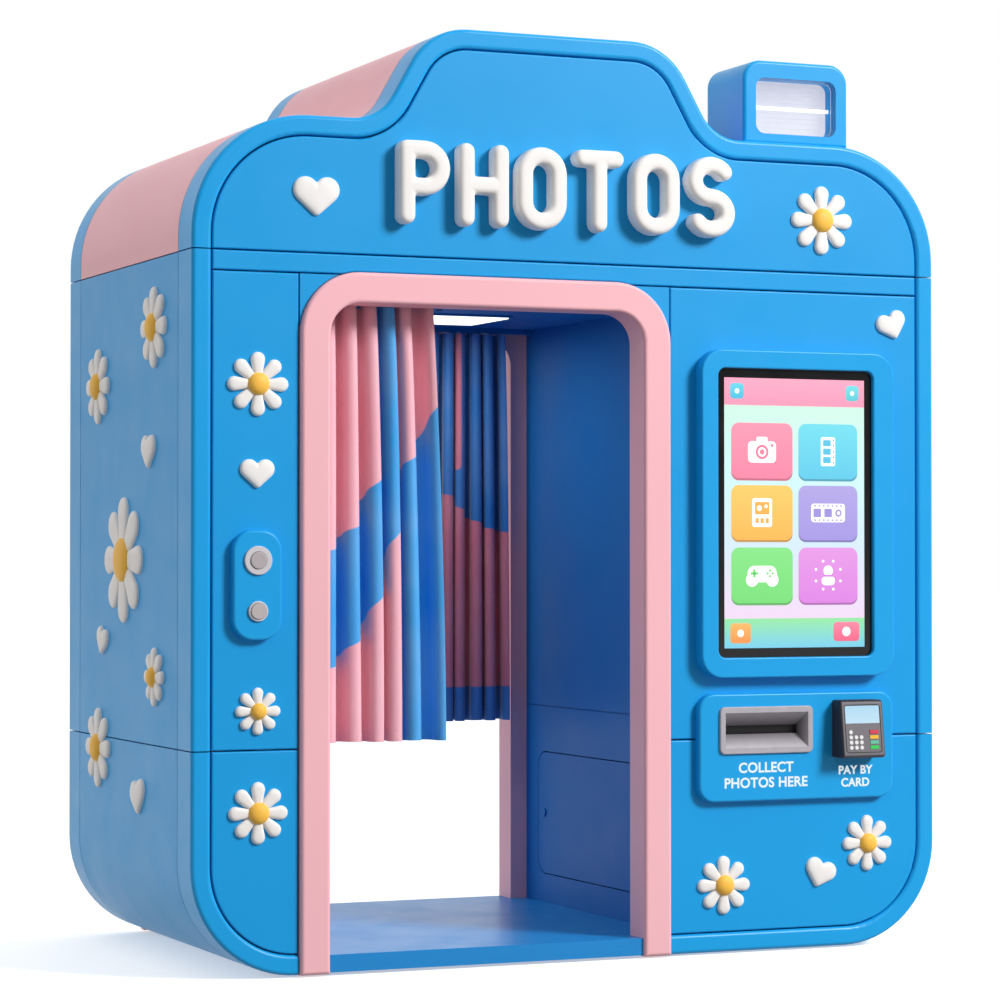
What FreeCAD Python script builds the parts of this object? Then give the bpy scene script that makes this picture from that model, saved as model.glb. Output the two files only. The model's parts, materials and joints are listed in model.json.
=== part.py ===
"""Walk-through photo booth: two curtained doorways, a passage between plain inner walls, a touch
screen and card reader on the front, and a flash lamp on the roof.

Millimetres. X runs to the right along the front, Y runs from the front to the back, Z is up. The
origin is on the floor under the middle of the booth.
"""
import FreeCAD, Part
import Sketcher
import math
import os

V = FreeCAD.Vector
doc = FreeCAD.newDocument("photo_booth")
sheet = doc.addObject("Spreadsheet::Sheet", "Sizes")

DRIVING = {
    # overall
    "booth_width": 2000, "booth_depth": 1050, "ground_gap": 5,
    "shoulder_height": 2040, "hump_height": 2271,
    # outline: rounded base corners and shoulders, and the hump with its soft feet
    "base_radius": 260, "shoulder_radius": 290, "hump_centre": -80, "hump_half": 220,
    "hump_foot_half": 520, "hump_foot_radius": 120, "hump_top_radius": 170,
    # rims at the front and back, and the skin between them
    "rim_face": 48, "rim_depth": 106, "rim_round": 10, "groove": 3, "skin_thickness": 20,
    "tool_reach": 50,
    # seams
    "low_seam": 537, "header_low": 1664, "high_seam": 1713,
    # flat panels inside the rims
    "panel_recess": 3, "panel_thickness": 20, "panel_round": 4,
    # doorways
    "door_centre": -245, "front_door_half": 413, "back_door_half": 481, "door_top": 1596,
    "casing_face": 74, "casing_proud": 12, "casing_corner": 150, "casing_inner_corner": 76,
    "casing_round": 9, "lining_depth": 75, "reveal_depth": 12,
    # passage
    "passage_half": 529, "wall_thickness": 18, "floor_top": 50, "floor_thickness": 19,
    "floor_runner_height": 6, "floor_runner_width": 60, "floor_runner_inset": 60,
    "sill_gap": 8, "ceiling_bottom": 1620,
    "ceiling_thickness": 18, "ceiling_inset": 35,
    "wall_seam": 586,
    # welded tube frame
    "tube": 40, "post_foot": 275, "post_top": 1740, "left_upright_foot": 80,
    "roof_beam_top": 1985, "roof_beam_half": 640, "shelf_rail_top": 617, "camera_rail_top": 1290,
    "header_beam_drop": 5,
    # levelling feet
    "foot_radius": 32, "foot_pitch_across": 700, "foot_pitch_deep": 380,
    # ceiling light
    "light_left": -525, "light_right": 35, "light_front": -30, "light_back": 240,
    "light_tray": 5, "light_diffuser": 3, "light_border": 10,
    # curtains: each hangs from a rail on gliders
    "curtain_setback": 110, "curtain_thickness": 64, "curtain_width": 326,
    "curtain_jamb_gap": 6, "back_curtain_inset": 24,
    "curtain_bottom": 545, "curtain_gap": 0.3, "rail_height": 14, "rail_width": 22,
    "glider_height": 13, "glider_width": 12, "glider_gap": 0.4, "mid_glider_offset": 160,
    # touch screen
    "screen_left": 316, "screen_right": 864, "screen_bottom": 690, "screen_top": 1510,
    "screen_proud": 33, "screen_corner": 58, "screen_round": 11,
    "glass_left": 362, "glass_right": 805, "glass_bottom": 740, "glass_top": 1464,
    "glass_corner": 20, "glass_recess": 12, "glass_thickness": 6, "glass_gap": 0.4,
    "glass_round": 4, "computer_inset": 22, "computer_depth": 70, "cutout_gap": 4,
    # outlet plate with the strip tray and the card reader
    "outlet_left": 314, "outlet_right": 868, "outlet_bottom": 380, "outlet_top": 650,
    "plate_proud": 20, "outlet_corner": 42, "plate_round": 6,
    "tray_left": 369, "tray_right": 632, "tray_bottom": 499, "tray_top": 617, "tray_proud": 7,
    "tray_flange": 5, "tray_corner": 14, "tray_border": 14, "tray_depth": 40, "tray_slot_inset": 34,
    "tray_round": 3, "tray_floor_thickness": 3, "tray_slot_depth": 12,
    "reader_left": 690, "reader_right": 813, "reader_bottom": 484, "reader_top": 630,
    "reader_foot": 58, "reader_slope": 6.3, "reader_corner": 9, "reader_round": 6,
    "key_travel": 1.2, "key_sunk": 3, "key_proud": 2, "key_gap": 0.3, "number_key_radius": 5,
    "number_pitch": 15, "key_row_pitch": 13, "lowest_key_row": 27, "number_keys_centre": -22,
    "function_key_width": 24, "function_key_height": 9, "function_keys_centre": 30,
    "display_left": 12, "display_right": 12, "display_low": 88, "display_high": 133,
    "display_depth": 3, "display_sunk": 1, "key_cut_reach": 12,
    # button plate
    "button_plate_centre": -844, "button_plate_half": 60.5, "button_plate_bottom": 796,
    "button_plate_top": 1054, "button_plate_corner": 50, "start_level": 983, "call_level": 864,
    "start_bezel_radius": 34, "start_radius": 20, "call_bezel_radius": 24, "call_radius": 19,
    "bezel_proud": 6, "button_proud": 3, "button_sunk": 12, "button_hole": 17, "button_gap": 0.4,
    "button_round": 2,
    # roof flash lamp
    "flash_left": 472, "flash_right": 772, "flash_top": 2253, "flash_corner": 50,
    "flash_setback": 40, "flash_depth": 200, "flash_round": 9,
    "flash_window_left": 507, "flash_window_right": 738, "flash_window_bottom": 2067,
    "flash_window_top": 2209, "flash_window_corner": 25, "flash_window_depth": 60,
    "flash_lens_recess": 25, "flash_lens_thickness": 3, "flash_gap": 0.3,
    "reflector_plate": 4, "reflector_rib": 5, "reflector_ribs": 10, "flash_tube_radius": 5,
    "flash_tube_gap": 2,
    # sign letters
    "letter_left": -493, "letter_width": 128, "letter_space": 27, "letter_bottom": 1788,
    "letter_height": 202, "letter_stroke": 42, "letter_thickness": 43, "letter_corner": 50,
    "letter_round": 7,
    # daisies and hearts
    "petal_thickness": 11, "centre_thickness": 12, "heart_thickness": 12, "decor_round": 3,
    # camera behind the left inner wall
    "window_radius": 34, "window_level": 1350, "window_depth_place": 100, "window_gap": 0.4,
    "camera_half": 55, "camera_height": 90, "camera_length": 90, "lens_recess": 3,
    # service hatch in the right inner wall
    "hatch_front": -250, "hatch_back": 373, "hatch_bottom": 127, "hatch_top": 462,
    "hatch_corner": 50, "hatch_gap": 3, "hinge_barrel": 4.5, "hinge_stand_off": 5,
    "hinge_pin": 2.5, "pin_clearance": 0.05, "hinge_leaf": 2, "hinge_leaf_width": 32,
    "hinge_knuckle": 24, "hinge_knuckle_gap": 0.4, "hinge_inset": 45, "hinge_arm": 6,
    "hinge_arm_gap": 1, "lock_radius": 11, "lock_proud": 4,
    # equipment
    "shelf_thickness": 20, "shelf_right_gap": 64, "shelf_end_gap": 85,
    "printer_left": 400, "printer_right": 760, "printer_front": -400, "printer_depth": 430,
    "printer_height": 250, "inlet_left": 640, "inlet_width": 60, "inlet_bottom": 160,
    "inlet_height": 46, "inlet_depth": 34, "inlet_proud": 3, "inlet_flange": 8,
}

for row, (alias, amount) in enumerate(DRIVING.items(), start=1):
    sheet.set("A%d" % row, alias)
    sheet.set("B%d" % row, str(amount))
    sheet.setAlias("B%d" % row, alias)
doc.recompute()


class Size:
    """A length or angle that knows its value and the sheet expression that gives it."""

    def __init__(self, value, text):
        self.value = float(value)
        self.text = text

    @staticmethod
    def of(item):
        return item if isinstance(item, Size) else Size(item, "(%r)" % float(item))

    def joined(self, sign, other, value):
        return Size(value, "(%s %s %s)" % (self.text, sign, other.text))

    def __add__(self, other):
        other = Size.of(other)
        return self.joined("+", other, self.value + other.value)

    def __sub__(self, other):
        other = Size.of(other)
        return self.joined("-", other, self.value - other.value)

    def __mul__(self, other):
        other = Size.of(other)
        return self.joined("*", other, self.value * other.value)

    def __truediv__(self, other):
        other = Size.of(other)
        return self.joined("/", other, self.value / other.value)

    def __radd__(self, other):
        return Size.of(other) + self

    def __rsub__(self, other):
        return Size.of(other) - self

    def __rmul__(self, other):
        return Size.of(other) * self

    def __neg__(self):
        return Size(-self.value, "(-1 * %s)" % self.text)

    def sine(self):
        return Size(math.sin(math.radians(self.value)), "sin(%s * 1 deg)" % self.text)

    def cosine(self):
        return Size(math.cos(math.radians(self.value)), "cos(%s * 1 deg)" % self.text)


class Sheet:
    """Gives each alias of the sheet as a Size."""

    def __getattr__(self, alias):
        return Size(getattr(sheet, alias), "Sizes." + alias)


S = Sheet()


def bind(item, name, size):
    """Bind one property to the sheet."""
    item.setExpression(name, Size.of(size).text)


def place(item, x=0, y=0, z=0):
    """Bind the three coordinates of an object's place."""
    for axis, size in zip("xyz", (x, y, z)):
        bind(item, "Placement.Base." + axis, size)


# ---------------------------------------------------------------- outlines
# An outline is a list of turns (x, z, radius, side): a circle that the outline goes round, to the
# left (+1) or to the right (-1), with straight tangent lines between. A radius of 0 is a sharp point.

def corners(points):
    """Turns of an outline whose sides lie along the axes, from (x, z, corner radius)."""
    turns = []
    for index, (x, z, radius) in enumerate(points):
        before = points[index - 1]
        after = points[(index + 1) % len(points)]
        came = heading(before, (x, z))
        goes = heading((x, z), after)
        side = 1 if came[0] * goes[1] - came[1] * goes[0] > 0 else -1
        radius = Size.of(radius)
        turns.append((Size.of(x) + radius * (goes[0] - came[0]),
                      Size.of(z) + radius * (goes[1] - came[1]), radius, side))
    return turns


def heading(start, end):
    """Unit step along the axis that joins two points."""
    across = Size.of(end[0]).value - Size.of(start[0]).value
    along = Size.of(end[1]).value - Size.of(start[1]).value
    if abs(across) > abs(along):
        return (1, 0) if across > 0 else (-1, 0)
    return (0, 1) if along > 0 else (0, -1)


def rounded_rectangle(left, right, bottom, top, radius):
    """Turns of a rectangle with round corners."""
    return corners([(left, bottom, radius), (right, bottom, radius),
                    (right, top, radius), (left, top, radius)])


def booth_outline(inset=0):
    """Turns of the booth's outline, moved inwards by inset."""
    side = S.booth_width / 2
    inset = Size.of(inset)
    base = (side - S.base_radius, S.ground_gap + S.base_radius, S.base_radius - inset, 1)
    shoulder = (side - S.shoulder_radius, S.shoulder_height - S.shoulder_radius,
                S.shoulder_radius - inset, 1)
    foot_level = S.shoulder_height + S.hump_foot_radius
    top_level = S.hump_height - S.hump_top_radius
    return [(-base[0],) + base[1:], base, shoulder,
            (S.hump_centre + S.hump_foot_half, foot_level, S.hump_foot_radius + inset, -1),
            (S.hump_centre + S.hump_half, top_level, S.hump_top_radius - inset, 1),
            (S.hump_centre - S.hump_half, top_level, S.hump_top_radius - inset, 1),
            (S.hump_centre - S.hump_foot_half, foot_level, S.hump_foot_radius + inset, -1),
            (-shoulder[0],) + shoulder[1:]]


def tangent_line(start, end):
    """Ends of the straight line that joins two turns."""
    (x1, z1, r1, side1), (x2, z2, r2, side2) = start, end
    bend1, bend2 = side1 * Size.of(r1).value, side2 * Size.of(r2).value
    across, along = Size.of(x2 - x1).value, Size.of(z2 - z1).value
    angle = math.atan2(along, across) - math.asin((bend2 - bend1) / math.hypot(across, along))
    left = V(-math.sin(angle), math.cos(angle), 0)
    return (V(Size.of(x1).value, Size.of(z1).value, 0) - left * bend1,
            V(Size.of(x2).value, Size.of(z2).value, 0) - left * bend2)


def draw(sketch, outline):
    """Add one closed outline to a sketch, with each of its sizes bound to the sheet."""
    count = len(outline)
    ends = [tangent_line(outline[k], outline[(k + 1) % count]) for k in range(count)]
    lines = [sketch.addGeometry(Part.LineSegment(*pair), False) for pair in ends]
    rules, sizes = [], []

    def rule(*words, size=None):
        value = () if size is None else (Size.of(size).value,)
        rules.append(Sketcher.Constraint(*words, *value))
        sizes.append(size)

    def locate(geometry, point, x, z):
        for kind, size in (("DistanceX", x), ("DistanceY", z)):
            rule(kind, -1, 1, geometry, point, size=size)

    for k, (x, z, radius, side) in enumerate(outline):
        before, after = lines[k - 1], lines[k]
        if Size.of(radius).value == 0:
            rule("Coincident", before, 2, after, 1)
            locate(after, 1, x, z)
            continue
        centre = V(Size.of(x).value, Size.of(z).value, 0)
        angles = [math.atan2(p.y - centre.y, p.x - centre.x) for p in (ends[k - 1][1], ends[k][0])]
        first, last = angles if side > 0 else angles[::-1]
        if last < first:
            last += 2 * math.pi
        circle = Part.Circle(centre, V(0, 0, 1), Size.of(radius).value)
        arc = sketch.addGeometry(Part.ArcOfCircle(circle, first, last), False)
        arrives, leaves = (1, 2) if side > 0 else (2, 1)
        rule("Tangent", before, 2, arc, arrives)
        rule("Tangent", after, 1, arc, leaves)
        locate(arc, 3, x, z)
        rule("Radius", arc, size=radius)
    start = sketch.ConstraintCount
    sketch.addConstraint(rules)
    for number, size in enumerate(sizes, start=start):
        if isinstance(size, Size) and "Sizes." in size.text:
            name = "size_%d" % number
            sketch.renameConstraint(number, name)
            bind(sketch, "Constraints." + name, size)


def draw_circle(sketch, x, z, radius):
    """Add one whole circle to a sketch."""
    centre = V(Size.of(x).value, Size.of(z).value, 0)
    circle = sketch.addGeometry(Part.Circle(centre, V(0, 0, 1), Size.of(radius).value), False)
    start = sketch.ConstraintCount
    sketch.addConstraint([
        Sketcher.Constraint("DistanceX", -1, 1, circle, 3, centre.x),
        Sketcher.Constraint("DistanceY", -1, 1, circle, 3, centre.y),
        Sketcher.Constraint("Radius", circle, Size.of(radius).value)])
    for number, size in enumerate((x, z, radius), start=start):
        name = "size_%d" % number
        sketch.renameConstraint(number, name)
        bind(sketch, "Constraints." + name, size)


# ---------------------------------------------------------------- solids

def add_sketch(body, plane="XZ_Plane"):
    """New sketch on one of a body's own planes."""
    sketch = body.newObject("Sketcher::SketchObject", body.Name + "_sketch")
    support = [feature for feature in body.Origin.OriginFeatures if feature.Role == plane][0]
    sketch.AttachmentSupport = (support, "")
    sketch.MapMode = "FlatFace"
    return sketch


def plate(label, outlines, back, front, rounding=None, circles=(), round_back=False):
    """Body whose outlines lie in XZ and which fills Y from back forwards to front."""
    body = doc.addObject("PartDesign::Body", label)
    sketch = add_sketch(body)
    for outline in outlines:
        draw(sketch, outline)
    for circle in circles:
        draw_circle(sketch, *circle)
    pad = body.newObject("PartDesign::Pad", label + "_pad")
    pad.Profile = sketch
    bind(pad, "Length", Size.of(back) - front)
    sketch.Visibility = False
    place(body, y=back)
    if rounding is not None:
        doc.recompute()
        level = 0 if round_back else -pad.Length.Value
        fillet = body.newObject("PartDesign::Fillet", label + "_fillet")
        fillet.Base = (pad, ["Edge%d" % (k + 1) for k, edge in enumerate(pad.Shape.Edges)
                             if all(abs(p.y - level) < 1e-6 for p in edge.discretize(3))])
        bind(fillet, "Radius", rounding)
    return body


def box(label, x, y, z):
    """Box between two values on each axis."""
    item = doc.addObject("Part::Box", label)
    for (low, high), length, axis in zip((x, y, z), ("Length", "Width", "Height"), "xyz"):
        bind(item, length, Size.of(high) - low)
        bind(item, "Placement.Base." + axis, low)
    return item


def cylinder(label, start, length, radius, axis="z"):
    """Round bar from start along +X, +Z or -Y."""
    item = doc.addObject("Part::Cylinder", label)
    bind(item, "Radius", radius)
    bind(item, "Height", length)
    turn = {"x": (V(0, 1, 0), 90), "-y": (V(1, 0, 0), 90), "z": (V(0, 0, 1), 0)}[axis]
    item.Placement.Rotation = FreeCAD.Rotation(*turn)
    place(item, *start)
    return item


def fuse(label, pieces, refine=True):
    item = doc.addObject("Part::MultiFuse", label)
    item.Shapes = pieces
    item.Refine = refine
    return item


def cut(label, base, tools):
    item = doc.addObject("Part::Cut", label)
    item.Base = base
    item.Tool = tools[0] if len(tools) == 1 else fuse(label + "_tools", tools)
    return item


def common(label, base, tool):
    item = doc.addObject("Part::Common", label)
    item.Base = base
    item.Tool = tool
    return item


def group(label, pieces):
    item = doc.addObject("Part::Compound", label)
    item.Links = pieces
    return item


def rounded(label, base, radius, wanted):
    """Round the edges of base that wanted() picks."""
    doc.recompute()
    item = doc.addObject("Part::Fillet", label)
    item.Base = base
    item.Edges = [(k + 1, Size.of(radius).value, Size.of(radius).value)
                  for k, edge in enumerate(base.Shape.Edges) if wanted(edge)]
    return item


def lies_at(axis, level):
    """Test for edges that lie wholly at one level of an axis."""
    level = Size.of(level).value
    return lambda edge: all(abs(getattr(p, axis) - level) < 1e-4 for p in edge.discretize(4))


# ---------------------------------------------------------------- shared places

side = S.booth_width / 2
front = -S.booth_depth / 2
back = S.booth_depth / 2
half_groove = S.groove / 2
panel_front = front + S.panel_recess
panel_back = panel_front + S.panel_thickness
above = S.hump_height + S.tool_reach
below = -S.tool_reach
everywhere = (-side - S.tool_reach, side + S.tool_reach)
all_depth = (front - S.tool_reach, back + S.tool_reach)

passage_left = S.door_centre - S.passage_half
passage_right = S.door_centre + S.passage_half
wall_left_outer = passage_left - S.wall_thickness
wall_right_outer = passage_right + S.wall_thickness
front_jambs = (S.door_centre - S.front_door_half, S.door_centre + S.front_door_half)
back_jambs = (S.door_centre - S.back_door_half, S.door_centre + S.back_door_half)
casing_top = S.door_top + S.casing_face


def casing(jambs):
    """Outer left and right of a door casing."""
    return jambs[0] - S.casing_face, jambs[1] + S.casing_face


front_casing = casing(front_jambs)
back_casing = casing(back_jambs)
column_right = front_casing[0] - S.groove
service_left = front_casing[1] + S.groove

# ---------------------------------------------------------------- rims and skin

ring = [booth_outline(), booth_outline(S.rim_face)]
rims = group("rims", [
    plate("front_rim", ring, front + S.rim_depth, front, S.rim_round),
    plate("back_rim", ring, back, back - S.rim_depth, S.rim_round, round_back=True)])
skin_half = S.booth_depth / 2 - S.rim_depth - S.groove
skin = plate("skin", [booth_outline(), booth_outline(S.skin_thickness)], skin_half, -skin_half)

upper_zone = (S.high_seam + half_groove, above)
middle_zone = (S.low_seam + half_groove, S.high_seam - half_groove)
lower_zone = (below, S.low_seam - half_groove)


def zone(label, base, levels):
    """The part of base between two levels."""
    return common(label, base, box(label + "_zone", everywhere, all_depth, levels))


threshold_clear = S.groove
threshold_top = 2 * S.floor_top + S.floor_thickness
door_gaps = [
    box("front_threshold_gap", (column_right, service_left), (all_depth[0], panel_back),
        (below, threshold_top)),
    box("passage_gap", (wall_left_outer - threshold_clear, wall_right_outer + threshold_clear),
        (panel_back, -panel_back), (below, threshold_top)),
    box("back_threshold_gap", (back_casing[0] - S.groove, back_casing[1] + S.groove),
        (-panel_back, all_depth[1]), (below, threshold_top))]
nodes = {
    "rim_tops": zone("rim_tops", rims, upper_zone),
    "rim_uprights": zone("rim_uprights", rims, middle_zone),
    "rim_bases": cut("rim_bases", zone("rim_bases_whole", rims, lower_zone), door_gaps),
    "roof_skin": zone("roof_skin", skin, upper_zone),
    "side_panels": zone("side_panels", skin, middle_zone),
    "base_skin": zone("base_skin", skin, lower_zone)}

# ---------------------------------------------------------------- door casings


def arch(outer, inner, low, top, corner):
    """Outline of an upside-down U: a casing with its opening, in one loop."""
    return corners([(outer[0], low, 0), (inner[0], low, 0),
                    (inner[0], S.door_top, S.casing_inner_corner),
                    (inner[1], S.door_top, S.casing_inner_corner),
                    (inner[1], low, 0), (outer[1], low, 0),
                    (outer[1], top, corner), (outer[0], top, corner)])


def casing_block(outer, clearance, top_gap):
    """Outline that a casing fills, grown by a clearance."""
    return corners([(outer[0] - clearance, 0, 0), (outer[1] + clearance, 0, 0),
                    (outer[1] + clearance, casing_top + top_gap, S.casing_corner + clearance),
                    (outer[0] - clearance, casing_top + top_gap, S.casing_corner + clearance)])


surround_low = S.door_top - 2 * S.casing_face
surround_back = panel_back + S.reveal_depth
lining_back = front + S.lining_depth
front_door_frame = fuse("front_door_frame", [
    plate("front_casing", [arch(front_casing, front_jambs, S.ground_gap, casing_top,
                                S.casing_corner)],
          panel_back, front - S.casing_proud, S.casing_round),
    plate("front_reveal", [arch(front_casing, front_jambs, S.floor_top, S.ceiling_bottom,
                                S.casing_corner)], surround_back, panel_back),
    plate("front_lining", [arch((passage_left, passage_right), front_jambs, S.floor_top,
                                S.ceiling_bottom, 0)], lining_back, surround_back)])
back_door_frame = fuse("back_door_frame", [
    plate("back_casing", [arch(back_casing, back_jambs, S.ground_gap, casing_top,
                               S.casing_corner)],
          back + S.casing_proud, -panel_back, S.casing_round, round_back=True),
    plate("back_lining", [arch((passage_left, passage_right), back_jambs, S.floor_top,
                               S.ceiling_bottom, 0)], -panel_back, -lining_back)])
nodes.update(front_door_frame=front_door_frame, back_door_frame=back_door_frame)

# ---------------------------------------------------------------- flat panels

field = [booth_outline(S.rim_face + S.groove)]
front_field = plate("front_field", field, panel_back, panel_front)
back_field = plate("back_field", field, -panel_front, -panel_back)
header_zone = (S.header_low + half_groove, S.high_seam - half_groove)
upper_panel_zone = (S.low_seam + half_groove, S.header_low - half_groove)


def panel(label, base, x, z, face, holes=()):
    """One flat panel cut from a field, with rounded edges on its outer face."""
    piece = common(label + "_blank", base, box(label + "_window", x, all_depth, z))
    if holes:
        piece = cut(label + "_pierced", piece, list(holes))
    return rounded(label, piece, S.panel_round, lies_at("y", face))


front_casing_block = plate("front_casing_block", [casing_block(front_casing, half_groove,
                                                               half_groove)],
                           surround_back + S.groove, all_depth[0])
back_casing_block = plate("back_casing_block", [casing_block(back_casing, half_groove,
                                                             half_groove)],
                          all_depth[1], -panel_back - S.groove)
left_of_door = (-side, column_right)
right_of_door = (service_left, side)
nodes["sign_panel"] = panel("sign_panel", front_field, everywhere, upper_zone, panel_front)
nodes["header_band"] = panel("header_band", front_field, everywhere, header_zone, panel_front,
                             [front_casing_block])
nodes["column_panels"] = group("column_panels", [
    panel("upper_column", front_field, left_of_door, upper_panel_zone, panel_front),
    panel("lower_column", front_field, left_of_door, lower_zone, panel_front)])
nodes["door_surround"] = cut("door_surround", fuse("surround_blank", [
    box("surround_face", (column_right + S.groove, service_left - S.groove),
        (panel_front, panel_back), (surround_low, S.header_low - half_groove)),
    box("surround_backing", (passage_left + S.groove, passage_right - S.groove),
        (panel_back, surround_back), (surround_low, S.header_low))]), [front_casing_block])

screen_hole = box("screen_hole", (S.glass_left + S.computer_inset - S.cutout_gap,
                                  S.glass_right - S.computer_inset + S.cutout_gap), all_depth,
                  (S.glass_bottom + S.computer_inset - S.cutout_gap,
                   S.glass_top - S.computer_inset + S.cutout_gap))
tray_body_x = (S.tray_left + S.tray_flange, S.tray_right - S.tray_flange)
tray_body_z = (S.tray_bottom + S.tray_flange, S.tray_top - S.tray_flange)
tray_hole = box("tray_hole", tray_body_x, all_depth, tray_body_z)
nodes["service_panels"] = group("service_panels", [
    panel("upper_service", front_field, right_of_door, upper_panel_zone, panel_front,
          [screen_hole, tray_hole]),
    panel("lower_service", front_field, right_of_door, lower_zone, panel_front, [tray_hole])])

inlet_x = (S.inlet_left, S.inlet_left + S.inlet_width)
inlet_z = (S.inlet_bottom, S.inlet_bottom + S.inlet_height)
inlet_hole = box("inlet_hole", inlet_x, all_depth, inlet_z)
back_left = (-side, back_casing[0] - S.groove)
back_right = (back_casing[1] + S.groove, side)
back_corners = cut("back_corners", box("back_corners_blank", back_casing,
                                       (-panel_back, -panel_front),
                                       (surround_low, S.header_low + S.groove)),
                   [back_casing_block])
nodes["back_panels"] = group("back_panels", [
    panel("back_top", back_field, everywhere, upper_zone, -panel_front),
    fuse("back_header", [
        panel("back_header_band", back_field, everywhere, header_zone, -panel_front,
              [back_casing_block]), back_corners]),
    panel("back_left_upper", back_field, back_left, upper_panel_zone, -panel_front),
    panel("back_left_lower", back_field, back_left, lower_zone, -panel_front),
    panel("back_right_upper", back_field, back_right, upper_panel_zone, -panel_front),
    panel("back_right_lower", back_field, back_right, lower_zone, -panel_front,
          [inlet_hole])])

# ---------------------------------------------------------------- passage

floor_bottom = S.floor_top - S.floor_thickness
wall_levels = (S.floor_top, S.ceiling_bottom)
nodes["floor_platform"] = fuse("floor_platform", [
    box("floor_deck", (wall_left_outer, wall_right_outer), (panel_back, -panel_back),
        (floor_bottom, S.floor_top)),
    box("front_sill", front_jambs, (front, panel_back), (S.sill_gap, S.floor_top)),
    box("back_sill", back_jambs, (-panel_back, back), (S.sill_gap, S.floor_top))] + [
    box("floor_runner_%d" % number, (place_x, place_x + S.floor_runner_width),
        (-skin_half, skin_half), (floor_bottom - S.floor_runner_height, floor_bottom))
    for number, place_x in enumerate((
        passage_left + S.floor_runner_inset, S.door_centre,
        passage_right - S.floor_runner_inset - S.floor_runner_width))])
nodes["ceiling_panel"] = box("ceiling_panel", (wall_left_outer, wall_right_outer),
                             (front + S.ceiling_inset, back - S.ceiling_inset),
                             (S.ceiling_bottom, S.ceiling_bottom + S.ceiling_thickness))
left_wall = box("left_wall", (wall_left_outer, passage_left), (panel_back, -panel_back),
                wall_levels)
window_place = (wall_left_outer - S.wall_thickness, S.window_depth_place, S.window_level)
nodes["inner_wall_left"] = cut("inner_wall_left", left_wall, [
    cylinder("window_hole", window_place, 3 * S.wall_thickness, S.window_radius, "x")])


def side_plate(label, outlines, x, depth):
    """Body whose outlines lie in YZ and which fills X from x for depth."""
    body = doc.addObject("PartDesign::Body", label)
    sketch = add_sketch(body, "YZ_Plane")
    for outline in outlines:
        draw(sketch, outline)
    pad = body.newObject("PartDesign::Pad", label + "_pad")
    pad.Profile = sketch
    bind(pad, "Length", depth)
    sketch.Visibility = False
    place(body, x=x)
    return body


hatch_opening = rounded_rectangle(S.hatch_front, S.hatch_back, S.hatch_bottom, S.hatch_top,
                                  S.hatch_corner)
hatch_outline = rounded_rectangle(S.hatch_front + S.hatch_gap, S.hatch_back - S.hatch_gap,
                                  S.hatch_bottom + S.hatch_gap, S.hatch_top - S.hatch_gap,
                                  S.hatch_corner - S.hatch_gap)
wall_outline = corners([(panel_back, wall_levels[0], 0), (-panel_back, wall_levels[0], 0),
                        (-panel_back, wall_levels[1], 0), (panel_back, wall_levels[1], 0)])
nodes["inner_wall_right"] = cut("inner_wall_right", side_plate(
    "right_wall", [wall_outline, hatch_opening], passage_right, S.wall_thickness), [
    box("right_wall_seam", (passage_right - S.groove, passage_right + S.groove), all_depth,
        (S.wall_seam - half_groove, S.wall_seam + half_groove))])

# ---------------------------------------------------------------- service hatch

hatch_lock_y = S.hatch_back - S.hinge_inset
hatch_lock_z = (S.hatch_bottom + S.hatch_top) / 2
nodes["service_hatch"] = side_plate("service_hatch", [hatch_outline], passage_right,
                                    S.wall_thickness)
pivot_x = passage_right - S.hinge_stand_off
pivot_y = S.hatch_front + S.hatch_gap
leaf_x = (passage_right - S.hinge_leaf, passage_right)
hinge_levels = (S.hatch_bottom + S.hatch_corner + S.hinge_inset,
                S.hatch_top - S.hatch_corner - S.hinge_inset)
fixed_parts, moving_parts = [], []
for number, level in enumerate(hinge_levels):
    name = "hinge_%d_" % number
    reach = S.hinge_knuckle * 1.5 + S.hinge_knuckle_gap
    fixed_parts += [
        box(name + "fixed_leaf", leaf_x, (pivot_y - S.hinge_leaf_width, pivot_y - S.hinge_arm),
            (level - reach, level + reach)),
        cylinder(name + "pin", (pivot_x, pivot_y, level - reach), 2 * reach, S.hinge_pin)]
    for end, (low, high) in enumerate(((level - reach, level - S.hinge_knuckle / 2),
                                       (level + S.hinge_knuckle / 2, level + reach))):
        knuckle = [(low, high - S.hinge_knuckle_gap), (low + S.hinge_knuckle_gap, high)][end]
        fixed_parts += [
            cylinder(name + "fixed_knuckle_%d" % end, (pivot_x, pivot_y, knuckle[0]),
                     knuckle[1] - knuckle[0], S.hinge_barrel),
            box(name + "fixed_arm_%d" % end, leaf_x,
                (pivot_y - S.hinge_arm - S.hinge_arm_gap, pivot_y - S.hinge_arm_gap), knuckle)]
    middle = (level - S.hinge_knuckle / 2, level + S.hinge_knuckle / 2)
    moving_parts.append(cut(name + "moving", fuse(name + "moving_blank", [
        cylinder(name + "moving_knuckle", (pivot_x, pivot_y, middle[0]), S.hinge_knuckle,
                 S.hinge_barrel),
        box(name + "moving_arm", leaf_x,
            (pivot_y + S.hinge_arm_gap, pivot_y + S.hinge_arm + S.hinge_arm_gap), middle),
        box(name + "moving_leaf", leaf_x, (pivot_y + S.hinge_arm, pivot_y + S.hinge_leaf_width),
            (level - reach, level + reach))]), [
        cylinder(name + "pin_hole", (pivot_x, pivot_y, middle[0] - S.hinge_knuckle), 3 * S.hinge_knuckle,
                 S.hinge_pin + S.pin_clearance)]))
nodes["hatch_hinges"] = fuse("hatch_hinges", fixed_parts)
lock = cylinder("hatch_lock", (passage_right - S.lock_proud, hatch_lock_y, hatch_lock_z),
                S.lock_proud, S.lock_radius, "x")
nodes["hatch_fittings"] = group("hatch_fittings", moving_parts + [lock])

# ---------------------------------------------------------------- welded tube frame

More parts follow.
